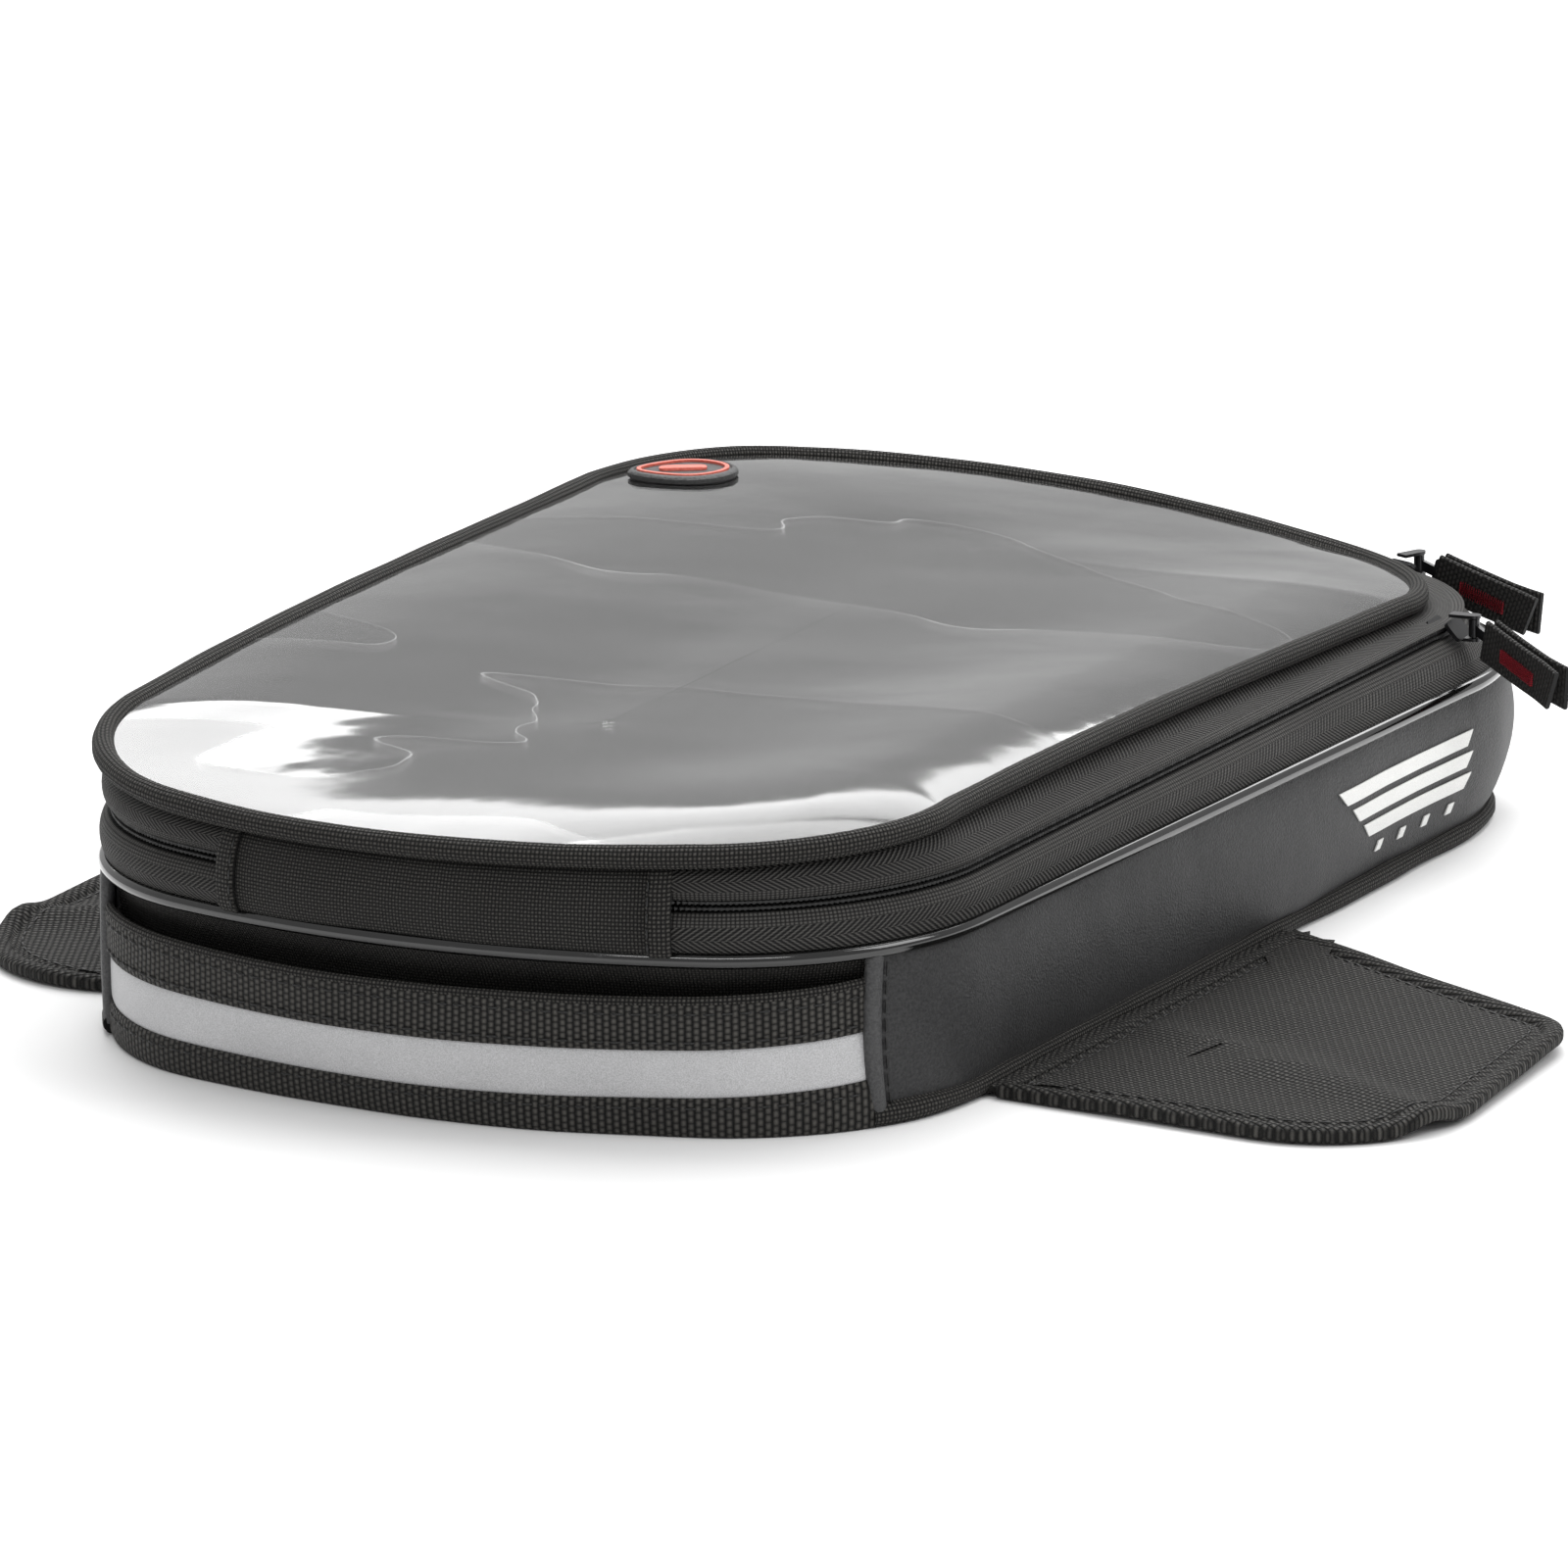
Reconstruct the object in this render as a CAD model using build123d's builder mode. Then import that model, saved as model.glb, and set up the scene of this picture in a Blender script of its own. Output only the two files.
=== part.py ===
from build123d import *
import os
from math import acos, atan2, cos, degrees, radians, sin, sqrt, tan

# Motorcycle tank bag: a shallow soft case with a zipped, hinged lid that carries a clear map
# window, a flat front pocket, and two magnet flaps that hold it to a fuel tank.
# Millimetres. X is across the bag, Y runs from the hinged front end to the far end, Z is up.
# The origin is on the ground plane under the middle of the base.

os.makedirs("parts", exist_ok=True)

# ---- driving dimensions: the plan outline at the piping line ----
far_corner_x, far_corner_y, far_corner_r = 57.0, 116.5, 72.0
far_end_r = 205.0
front_corner_x, front_corner_y, front_corner_r = 48.0, -133.0, 62.0
front_end_r = 230.0
rim_inset_far = 18.0          # how far the rim steps in at the far end
rim_inset_front = 1.0
base_inset_far = 4.0
base_inset_front = 0.0

# ---- driving dimensions: heights ----
piping_z = 41.0
rim_z = 66.0
base_t = 2.4                  # base cloth
board_t = 2.0                 # stiffener board
binding_r = 2.5               # rolled bottom binding
gloss_r = 1.4                 # glossy piping bead
rim_r = 2.4                   # fabric-covered rim bead
wall_t = 1.4
padding_t = 2.6
gap = 0.1                     # between layers of one body
seam_gap = 0.2                # between a rolled bead and the cloth beside it
board_inset = 2.0             # stiffener board inside the base cloth
padding_drop = 1.5            # wall foam below the wall's top edge
wall_top_inset = 0.6
tape_t = 1.2
coil_r = 0.9
coil_clear = 0.489            # from each coil to the zip line, measured along the slope

gusset_z0 = piping_z + gloss_r + seam_gap
gusset_z1 = rim_z - rim_r - seam_gap
zip_z = (gusset_z0 + gusset_z1) / 2
tilt = degrees(atan2(rim_inset_far, gusset_z1 - gusset_z0))    # lean of the far gusset
coil_half_gap = (coil_r + coil_clear) * cos(radians(tilt))
wall_z0 = 2 * binding_r + gap
wall_z1 = piping_z - gloss_r - gap
inside_z0 = base_t + board_t + 2 * gap

# ---- driving dimensions: front pocket and hinge gusset ----
trim_y = front_corner_y - 36.0    # where the side walls stop and the front wall starts
trim_half = 1.9               # half width of the rolled edge there
trim_out = 1.4                # how far it stands out from the side wall
front_wall_recess = 9.0
pocket_z1 = piping_z - 8.0
pocket_t = 1.6
webbing_t = 1.3
lower_webbing_z1 = pocket_z1 / 3
strip_z = (lower_webbing_z1 + 1.0, 0.68 * pocket_z1)
strip_t = 0.5
upper_webbing_z0 = strip_z[1] + 1.0
hem_roll = 0.6                # how far the upper webbing stands above the pocket
gusset_half = front_corner_x + 8.0
hem_w = 3.0
hem_t = 0.7
hem_over = 1.0                # how far the hems reach past the gusset cloth

# ---- driving dimensions: lid layers, badge and side marks ----
lining_t, foam_t, backing_t, window_t = 0.8, 3.0, 1.2, 0.8
window_gap = 0.4
lining_inset = 1.0            # lid foam and lining inside the backing sheet
badge_x, badge_y, badge_turn = -far_corner_x - 36.0, far_corner_y + 7.0, 28.0
badge_len, badge_w, badge_t, inlay_t = 30.0, 19.0, 2.4, 0.6
badge_border, ring_w = 2.5, 1.2
mark_far_y, mark_len, mark_step = far_corner_y - 9.5, 52.0, 7.0
mark_rows, mark_row_h, mark_pitch, mark_t = 3, 3.6, 5.4, 0.4
mark_drop = 6.3               # first bar's lower edge below the middle of the wall
mark_far_lean, mark_near_lean = 3.0, 4.0
dot_count, dot_r, dot_pitch = 4, 1.5, 13.0
dot_drop, dot_back = 4.5, 45.0    # dots below the bars, and first dot from the bars' far end

# ---- driving dimensions: magnet flaps ----
flap_t = 3.2
flap_gap = 0.4
flap_root_w = 2.5             # cloth hinge strip between the base and the flap
flap_root_t = 1.0
flap_len = 151.0
flap_front_y = front_corner_y - 6.0
flap_skew = 7.0               # how far the near edge runs forward towards the tip
right_near_r, left_near_r = 36.0, 39.0    # rounding of the near tip corner
right_reach, left_reach = 109.0, 54.0
flap_edge_w = 5.0
flap_pad_play = 1.0           # foam inside the flap's rolled edge
tip_span = 0.64               # width of the flap's tip as a share of its root
tip_set = 8.0                 # how much shorter the flap is at its far tip corner
far_tip_share = 0.18          # far tip corner's rounding as a share of the reach
cover_t = 0.8
magnet_r = 11.0
magnet_y = flap_front_y + 49.0    # middle of the magnets along the flap
magnet_half = 15.5            # from there to each magnet's centre
pair_shares, single_share = (0.36, 0.74), 0.5    # magnet rows as shares of the reach

# ---- driving dimensions: sliders and pulls ----
slider_len, slider_plate_t = 9.0, 1.0
slider_low, slider_high = 4.5, 1.2    # reach of the outer plate below and above the zip line
slider_round = 1.5
outer_gap, inner_gap = 0.7, 0.5
post_len, post_w = 3.0, 0.6
pin_out, pin_r = 7.0, 0.7
pin_low, pin_high = -1.6, 3.4         # inner faces of the ears, from the zip line
ear_t, ear_w = 0.8, 3.4
low_ear_from, high_ear_from = 3.2, 0.9
knuckle_r = 1.4
pin_play = 0.06
pin_float = 0.3               # between the tab's knuckle and each ear
tab_half = 0.6
neck_from, neck_len, neck_w = 0.8, 5.2, 2.6
tab_from, tab_len, tab_w, tab_round = 5.0, 8.0, 7.6, 1.2
pull_droop = 15.0
webbing_w, webbing_len, webbing_from = 11.0, 31.0, 6.5
webbing_layer = 1.2
webbing_slack = 0.5           # past the tab's end inside the fold
stitch_count, stitch_from, stitch_pitch = 6, 17.0, 2.6
stitch_len, stitch_w, stitch_t = 5.4, 1.0, 0.3
corner_slider_angle = 2.0
far_heading, corner_heading = -14.0, -33.0

far = 400.0                   # beyond the bag every way, for cutting
base_insets = [base_inset_far, base_inset_front]
rim_insets = [rim_inset_far, rim_inset_front]
wall_top = [wall_top_inset, wall_top_inset]


def outline_values(far_inset, front_inset):
    """Centres and tangent angles of the outline's arcs, at the given insets."""
    rn, rf = front_corner_r - front_inset, far_corner_r - far_inset
    big_n, big_f = front_end_r - front_inset, far_end_r - far_inset
    front_c = front_corner_y + sqrt((big_n - rn) ** 2 - front_corner_x ** 2)
    far_c = far_corner_y - sqrt((big_f - rf) ** 2 - far_corner_x ** 2)
    front_a = degrees(atan2(front_corner_y - front_c, front_corner_x))
    far_a = degrees(atan2(far_corner_y - far_c, far_corner_x))
    dx, dy = far_corner_x - front_corner_x, far_corner_y - front_corner_y
    side_a = degrees(atan2(dy, dx)) - degrees(acos((rn - rf) / sqrt(dx * dx + dy * dy)))
    return rn, rf, big_n, big_f, front_c, far_c, front_a, far_a, side_a


def outline(far_inset, front_inset):
    """Draws the closed plan outline in the current BuildLine."""
    rn, rf, big_n, big_f, front_c, far_c, front_a, far_a, side_a = outline_values(
        far_inset, front_inset)
    CenterArc((0, front_c), big_n, -180 - front_a, 2 * front_a + 180)
    c1 = CenterArc((front_corner_x, front_corner_y), rn, front_a, side_a - front_a)
    c2 = CenterArc((far_corner_x, far_corner_y), rf, side_a, far_a - side_a)
    Line(c1 @ 1, c2 @ 0)
    CenterArc((0, far_c), big_f, far_a, 180 - 2 * far_a)
    c3 = CenterArc((-far_corner_x, far_corner_y), rf, 180 - far_a, far_a - side_a)
    c4 = CenterArc((-front_corner_x, front_corner_y), rn, 180 - side_a, side_a - front_a)
    Line(c3 @ 1, c4 @ 0)


def section(z, insets):
    """One closed outline as a face at height z."""
    with BuildSketch(Plane.XY.offset(z)) as face:
        with BuildLine():
            outline(*insets)
        make_face()
    return face.sketch


def shell(z0, insets0, z1, insets1, thickness):
    """A ring wall between two heights, its outer faces at the given insets."""
    inner0 = [i + thickness for i in insets0]
    inner1 = [i + thickness for i in insets1]
    loft([section(z0, insets0), section(z1, insets1)], ruled=True)
    loft([section(z0, inner0), section(z1, inner1)], ruled=True, mode=Mode.SUBTRACT)


def plate(z, insets, thickness):
    """A flat sheet filling the outline."""
    extrude(section(z, insets), amount=thickness)


def bead(z, insets, radius):
    """A round bead that runs right round the outline."""
    with BuildLine(Plane.XY.offset(z)) as path:
        outline(*insets)
    start = path.wires()[0]
    with BuildSketch(Plane(origin=start @ 0, z_dir=start % 0)) as disc:
        Circle(radius)
    sweep(disc.sketch, path=start)


def keep_box(x0, x1, y0, y1, mode=Mode.INTERSECT):
    """Keeps only what lies inside the given plan rectangle."""
    with BuildSketch() as area:
        with Locations(((x0 + x1) / 2, (y0 + y1) / 2)):
            Rectangle(x1 - x0, y1 - y0)
    extrude(area.sketch, amount=far, both=True, mode=mode)


def cut_box(x0, x1, y0, y1):
    """Removes what lies inside the given plan rectangle."""
    keep_box(x0, x1, y0, y1, Mode.SUBTRACT)


def finish(piece, name):
    """Labels a finished piece and writes it."""
    piece.part.label = name
    export_step(piece.part, f"parts/{name}.step")


def between(z, z0, insets0, z1, insets1, extra=0.0):
    """Insets at height z of a wall that slopes from insets0 to insets1, plus extra."""
    share = (z - z0) / (z1 - z0)
    return [a + share * (b - a) + extra for a, b in zip(insets0, insets1)]


def gusset_insets(z):
    """Insets of the sloping gusset between piping and rim at height z."""
    return between(z, gusset_z0, [0, 0], gusset_z1, [rim_inset_far, rim_inset_front])


def side_insets(z, extra=0.0):
    """Insets of the side wall at height z."""
    return between(z, wall_z0, base_insets, wall_z1, wall_top, extra)


def front_insets(z, extra=0.0):
    """Insets of the front wall at height z."""
    return between(z, inside_z0, [0, front_wall_recess], wall_z1, [0, front_wall_recess - 1], extra)


# ---- base: cloth, stiffener board, rolled binding ----
base_edge = binding_r + seam_gap
with BuildPart() as base_panel:
    plate(0, [i + base_edge for i in base_insets], base_t)
finish(base_panel, "base_panel")

with BuildPart() as base_stiffener:
    plate(base_t + gap, [i + base_edge + board_inset for i in base_insets], board_t)
finish(base_stiffener, "base_stiffener")

with BuildPart() as base_binding:
    bead(binding_r, base_insets, binding_r)
    cut_box(-far, far, -far, trim_y)
finish(base_binding, "base_binding")

# ---- side walls: a shell each side, meeting at the middle of the far end, and foam inside ----
padding_top = wall_z1 - padding_drop
inside = wall_t + gap
for side, word in ((1, "right"), (-1, "left")):
    x_span = sorted((gap / 2 * side, far * side))
    with BuildPart() as side_wall:
        shell(wall_z0, base_insets, wall_z1, wall_top, wall_t)
        keep_box(*x_span, trim_y + trim_half + gap, far)
    finish(side_wall, f"side_wall_{word}")

    with BuildPart() as wall_padding:
        shell(wall_z0, side_insets(wall_z0, inside), padding_top,
              side_insets(padding_top, inside), padding_t)
        keep_box(*x_span, trim_y + trim_half + gap, far)
    finish(wall_padding, f"wall_padding_{word}")

    # rolled edge where the side wall meets the pocket
    with BuildPart() as wall_trim:
        shell(wall_z0, side_insets(wall_z0, -trim_out), wall_z1, side_insets(wall_z1, -trim_out),
              front_wall_recess + padding_t + trim_out)
        keep_box(*x_span, trim_y - trim_half, trim_y + trim_half)
    finish(wall_trim, f"wall_trim_{word}")

# ---- front wall, set back behind the pocket ----
front_y = trim_y - trim_half - gap
with BuildPart() as front_wall:
    shell(inside_z0, front_insets(inside_z0), wall_z1, front_insets(wall_z1), wall_t)
    keep_box(-far, far, -far, front_y)
finish(front_wall, "front_wall")

with BuildPart() as front_padding:
    shell(inside_z0, front_insets(inside_z0, inside), padding_top,
          front_insets(padding_top, inside), padding_t)
    keep_box(-far, far, -far, front_y)
finish(front_padding, "front_padding")

# ---- front pocket: panel, two webbing bands, reflective strip between them ----
with BuildPart() as pocket_panel:
    shell(gap, [0, 0], pocket_z1, [0, 0], pocket_t)
    keep_box(-far, far, -far, front_y)
finish(pocket_panel, "pocket_panel")


def pocket_band(name, z0, z1, thickness):
    """A band sewn on the outside of the pocket panel."""
    with BuildPart() as band:
        shell(z0, [-thickness - gap] * 2, z1, [-thickness - gap] * 2, thickness)
        keep_box(-far, far, -far, front_y)
    finish(band, name)


pocket_band("pocket_webbing_lower", 0.0, lower_webbing_z1, webbing_t)
pocket_band("reflective_strip", strip_z[0], strip_z[1], strip_t)
pocket_band("pocket_webbing_upper", upper_webbing_z0, pocket_z1 + hem_roll, webbing_t)

# ---- piping line, zip tapes and coils ----
with BuildPart() as gloss_piping:
    bead(piping_z, [0, 0], gloss_r)
finish(gloss_piping, "gloss_piping")

lower_coil_z = zip_z - coil_half_gap
upper_coil_z = zip_z + coil_half_gap


def zip_tape(name, z0, z1):
    """A tape that runs round the bag from one side of the hinge gusset to the other."""
    with BuildPart() as tape:
        shell(z0, gusset_insets(z0), z1, gusset_insets(z1), tape_t)
        cut_box(-gusset_half, gusset_half, -far, 0)
    finish(tape, name)


def zip_coil(name, z):
    """The row of teeth along a tape's edge."""
    with BuildPart() as coil:
        bead(z, [i + tape_t / 2 for i in gusset_insets(z)], coil_r)
        cut_box(-gusset_half, gusset_half, -far, 0)
    finish(coil, name)


zip_tape("zip_tape_lower", gusset_z0, lower_coil_z - coil_r - gap / 2)
zip_tape("zip_tape_upper", upper_coil_z + coil_r + gap / 2, gusset_z1)
zip_coil("zip_coil_lower", lower_coil_z)
zip_coil("zip_coil_upper", upper_coil_z)

# ---- hinge gusset: the cloth that joins lid and body at the front end ----
with BuildPart() as hinge_gusset:
    shell(gusset_z0, gusset_insets(gusset_z0), gusset_z1, gusset_insets(gusset_z1), tape_t)
    keep_box(-gusset_half + gap, gusset_half - gap, -far, 0)
finish(hinge_gusset, "hinge_gusset")

hem_out = hem_t + 5 * gap
with BuildPart() as gusset_hems:
    shell(gusset_z0, [-hem_out] * 2, gusset_z1, [i - hem_out for i in rim_insets], hem_t)
    keep_box(-gusset_half - hem_over, gusset_half + hem_over, -far, 0)
    cut_box(-gusset_half + hem_w, gusset_half - hem_w, -far, 0)
finish(gusset_hems, "gusset_hems")

# ---- lid: rim bead, lining, foam, backing sheet, clear window ----
with BuildPart() as lid_rim_piping:
    bead(rim_z, rim_insets, rim_r)
finish(lid_rim_piping, "lid_rim_piping")

lid_edge = [i + rim_r + seam_gap for i in rim_insets]
under_edge = [i + lining_inset for i in lid_edge]
backing_z = gusset_z1 + gap
window_z = backing_z + backing_t + window_gap
foam_z = backing_z - 2 * gap - foam_t
lining_z = foam_z - gap - lining_t
with BuildPart() as lid_backing:
    plate(backing_z, lid_edge, backing_t)
finish(lid_backing, "lid_backing")

with BuildPart() as map_window:
    plate(window_z, lid_edge, window_t)
finish(map_window, "map_window")

with BuildPart() as lid_foam:
    plate(foam_z, under_edge, foam_t)
finish(lid_foam, "lid_foam")

with BuildPart() as lid_lining:
    plate(lining_z, under_edge, lining_t)
finish(lid_lining, "lid_lining")

# ---- badge in the far left corner of the window: a plain pad with a raised ring and bar ----
badge_at = Location((badge_x, badge_y, window_z + window_t + gap), (0, 0, badge_turn))
badge_plane = Plane(badge_at)
with BuildPart() as badge_base:
    with BuildSketch(badge_plane):
        SlotOverall(badge_len, badge_w)
    extrude(amount=badge_t)
finish(badge_base, "badge_base")

ring_len, ring_h = badge_len - 2 * badge_border, badge_w - 2 * badge_border
with BuildPart() as badge_inlay:
    with BuildSketch(badge_plane.offset(badge_t + gap / 2)):
        SlotOverall(ring_len, ring_h)
        SlotOverall(ring_len - 2 * ring_w, ring_h - 2 * ring_w, mode=Mode.SUBTRACT)
        SlotOverall(badge_len / 2, badge_w / 5)
    extrude(amount=inlay_t)
finish(badge_inlay, "badge_inlay")

# ---- reflective marks on the side walls: tapered bars and a row of dots ----
mark_out = mark_t + gap / 2
mark_mid = (wall_z0 + wall_z1) / 2
mark_low = mark_mid - mark_drop
dot_z = mark_low - dot_drop
dot_y = mark_far_y - dot_back
for side, word in ((1, "right"), (-1, "left")):
    with BuildPart() as side_mark:
        shell(wall_z0, side_insets(wall_z0, -mark_out), wall_z1, side_insets(wall_z1, -mark_out), mark_t)
        with BuildSketch(Plane.YZ):
            for row in range(mark_rows):
                low = mark_low + mark_pitch * row
                start_y = mark_far_y - mark_len - mark_step * row
                with BuildLine():
                    Polyline((start_y, low), (mark_far_y, low),
                             (mark_far_y + mark_far_lean, low + mark_row_h),
                             (start_y - mark_near_lean, low + mark_row_h), close=True)
                make_face()
            with Locations([(dot_y + dot_pitch * n, dot_z) for n in range(dot_count)]):
                Circle(dot_r)
        extrude(amount=far * side, mode=Mode.INTERSECT)
    finish(side_mark, f"side_mark_{word}")

# ---- magnet flaps ----
base_values = outline_values(*base_insets)
base_corner_r, side_a = base_values[0], base_values[8]
side_x = front_corner_x + base_corner_r * cos(radians(side_a))
side_y = front_corner_y + base_corner_r * sin(radians(side_a))
flap_far_y = flap_front_y + flap_len


def flap_plane(side, z):
    """Plane at the base's long edge: local x points outwards, local y along the edge."""
    x = side_x + side_y * tan(radians(side_a)) + binding_r + flap_gap
    normal = (side * cos(radians(side_a)), sin(radians(side_a)), 0)
    return Plane(origin=(side * x, 0, z), x_dir=normal, z_dir=(0, 0, 1))


def flap_face(side, reach, near_r, inset=0):
    """The flap's rounded face, drawn in by inset, for the current BuildSketch."""
    with BuildLine() as edge:
        tip_far_y = flap_front_y + tip_span * (flap_far_y - flap_front_y)
        corners = FilletPolyline(
            (flap_root_w, side * flap_far_y), (reach - tip_set, side * tip_far_y),
            (reach, side * (flap_front_y - flap_skew)), (flap_root_w, side * flap_front_y),
            radius=[far_tip_share * reach, near_r])
        Line(corners @ 1, corners @ 0)
    make_face(edge.line)
    if inset:
        offset(amount=-inset, kind=Kind.INTERSECTION, mode=Mode.REPLACE)


for side, word, reach, near_r in ((1, "right", right_reach, right_near_r),
                                  (-1, "left", left_reach, left_near_r)):
    core_z = cover_t + gap
    core_t = flap_t - 2 * cover_t - 2 * gap
    shares = pair_shares if reach > 7 * magnet_r else (single_share,)
    rows = (magnet_y - magnet_half, magnet_y + magnet_half)
    spots = [(reach * share, side * y) for share in shares for y in rows]
    for name, z in ((f"flap_{word}_under", 0.0), (f"flap_{word}_cover", flap_t - cover_t)):
        with BuildPart() as flap_sheet:
            with BuildSketch(flap_plane(side, z)):
                flap_face(side, reach, near_r, flap_edge_w + gap)
            extrude(amount=cover_t)
        finish(flap_sheet, name)

    with BuildPart() as flap_pad:
        with BuildSketch(flap_plane(side, core_z)):
            flap_face(side, reach, near_r, flap_edge_w + flap_pad_play)
            with Locations(spots):
                Circle(magnet_r + gap, mode=Mode.SUBTRACT)
        extrude(amount=core_t)
    finish(flap_pad, f"flap_{word}_pad")

    with BuildPart() as flap_magnets:
        with BuildSketch(flap_plane(side, core_z)):
            with Locations(spots):
                Circle(magnet_r)
        extrude(amount=core_t)
    finish(flap_magnets, f"flap_{word}_magnets")

    with BuildPart() as flap_edge:
        with BuildSketch(flap_plane(side, 0)):
            flap_face(side, reach, near_r)
        extrude(amount=flap_t)
        with BuildSketch(flap_plane(side, 0)):
            flap_face(side, reach, near_r, flap_edge_w)
        extrude(amount=flap_t, mode=Mode.SUBTRACT)
    finish(flap_edge, f"flap_{word}_edge")

    with BuildPart() as flap_root:
        with BuildSketch(flap_plane(side, (flap_t - flap_root_t) / 2)):
            with Locations((flap_root_w / 2, side * (flap_front_y + flap_far_y) / 2)):
                Rectangle(flap_root_w - 2 * gap, flap_far_y - flap_front_y)
        extrude(amount=flap_root_t)
    finish(flap_root, f"flap_{word}_root")


# ---- zip sliders, one on the far end and one on the far right corner, with their pulls ----
zip_inset = gusset_insets(zip_z)[0] + tape_t / 2
values = outline_values(0, 0)
zip_corner_r = far_corner_r - zip_inset


def zip_frame(angle):
    """Point on the zip line round the far right corner, and its outward direction."""
    out = (cos(radians(angle)), sin(radians(angle)), 0)
    point = (far_corner_x + zip_corner_r * out[0], far_corner_y + zip_corner_r * out[1], zip_z)
    return Vector(*point), Vector(*out)


def slider(name, angle):
    """A slider: plates outside and inside the tape, a post between the coils, and two ears."""
    at, out = zip_frame(angle)
    along = Vector(-out.Y, out.X, 0)
    normal = out * cos(radians(tilt)) + Vector(0, 0, 1) * sin(radians(tilt))
    tape_plane = Plane(origin=at, x_dir=along, z_dir=normal)
    level_plane = Plane(origin=at, x_dir=out, z_dir=(0, 0, 1))
    outer = coil_r + outer_gap
    inner = coil_r + inner_gap
    with BuildPart() as body:
        with BuildSketch(tape_plane.offset(outer)):
            with Locations((0, (slider_high - slider_low) / 2)):
                RectangleRounded(slider_len, slider_low + slider_high, slider_round)
        extrude(amount=slider_plate_t)
        with BuildSketch(tape_plane.offset(-inner - slider_plate_t)):
            RectangleRounded(slider_len, 2 * slider_low, slider_round)
        extrude(amount=slider_plate_t)
        with BuildSketch(tape_plane.offset(-inner - slider_plate_t / 2)):
            Rectangle(post_len, post_w)
        extrude(amount=inner + outer + slider_plate_t)
        for z, ear_from in ((pin_low - ear_t, low_ear_from), (pin_high, high_ear_from)):
            with BuildSketch(level_plane.offset(z)):
                with Locations(((ear_from + pin_out) / 2, 0)):
                    Rectangle(pin_out - ear_from, ear_w)
                with Locations((pin_out, 0)):
                    Circle(ear_w / 2)
            extrude(amount=ear_t)
        with BuildSketch(level_plane.offset(pin_low - ear_t)):
            with Locations((pin_out, 0)):
                Circle(pin_r)
        extrude(amount=pin_high - pin_low + 2 * ear_t)
    finish(body, name)
    return at + out * pin_out


def pull(word, pin, heading):
    """A metal tab on the slider's pin, a folded webbing loop through it, and its stitching."""
    out = Vector(cos(radians(heading)), sin(radians(heading)), 0)
    level = Plane(origin=pin, x_dir=out, z_dir=(0, 0, 1))
    down = out * cos(radians(pull_droop)) - Vector(0, 0, 1) * sin(radians(pull_droop))
    across = Vector(-out.Y, out.X, 0)
    middle = pin + Vector(0, 0, (pin_low + pin_high) / 2)
    face = Plane(origin=middle, x_dir=down, z_dir=across)
    knuckle_h = pin_high - pin_low - 2 * pin_float
    with BuildPart() as tab:
        with BuildSketch(level.offset(pin_low + pin_float)):
            Circle(knuckle_r)
        extrude(amount=knuckle_h)
        with BuildSketch(face.offset(-tab_half)):
            with Locations((neck_from + neck_len / 2, 0)):
                Rectangle(neck_len, neck_w)
            with Locations((tab_from + tab_len / 2, 0)):
                RectangleRounded(tab_len, tab_w, tab_round)
        extrude(amount=2 * tab_half)
        with BuildSketch(level.offset(pin_low)):
            Circle(pin_r + pin_play)
        extrude(amount=pin_high - pin_low, mode=Mode.SUBTRACT)
    finish(tab, f"pull_tab_{word}")

    inner_half = tab_half + gap
    outer_half = inner_half + webbing_layer
    slot_end = tab_from + tab_len + webbing_slack
    with BuildPart() as webbing:
        with BuildSketch(face.offset(-outer_half)):
            with Locations((webbing_from + webbing_len / 2, 0)):
                Rectangle(webbing_len, webbing_w)
        extrude(amount=2 * outer_half)
        with BuildSketch(face.offset(-inner_half)):
            with Locations(((webbing_from - 1 + slot_end) / 2, 0)):
                Rectangle(slot_end - webbing_from + 1, webbing_w + 2)
        extrude(amount=2 * inner_half, mode=Mode.SUBTRACT)
    finish(webbing, f"pull_webbing_{word}")

    with BuildPart() as stitching:
        for turn in (1, -1):
            sewn = Plane(origin=middle, x_dir=down, z_dir=across * turn)
            with BuildSketch(sewn.offset(outer_half + gap / 5)):
                with Locations([(stitch_from + stitch_pitch * n, 0) for n in range(stitch_count)]):
                    Rectangle(stitch_w, stitch_len)
            extrude(amount=stitch_t)
    finish(stitching, f"pull_stitching_{word}")


for word, angle, heading in (("far", values[7], far_heading),
                             ("corner", corner_slider_angle, corner_heading)):
    pin = slider(f"slider_{word}", angle)
    pull(word, pin, heading)
    print("pin", word, [round(v, 4) for v in (pin.X, pin.Y, pin.Z)])

# ---- places of the joints ----
print("far arc centre y", round(values[5], 4), "far arc tangent angle", round(values[7], 3))
print("zip z", zip_z, "side angle", round(values[8], 4), "front y", round(values[4] - front_end_r, 3))
for side in (1, -1):
    plane = flap_plane(side, 0)
    print("flap axis", side, [round(v, 4) for v in tuple(plane.origin)],
          [round(v, 5) for v in tuple(plane.x_dir)])
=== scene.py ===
"""Looks of the motorcycle tank bag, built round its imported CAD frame. All lengths are metres."""
import math
from functools import partialmethod

import bmesh
import bpy
import numpy as np
from mathutils import Matrix, Vector, noise

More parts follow.
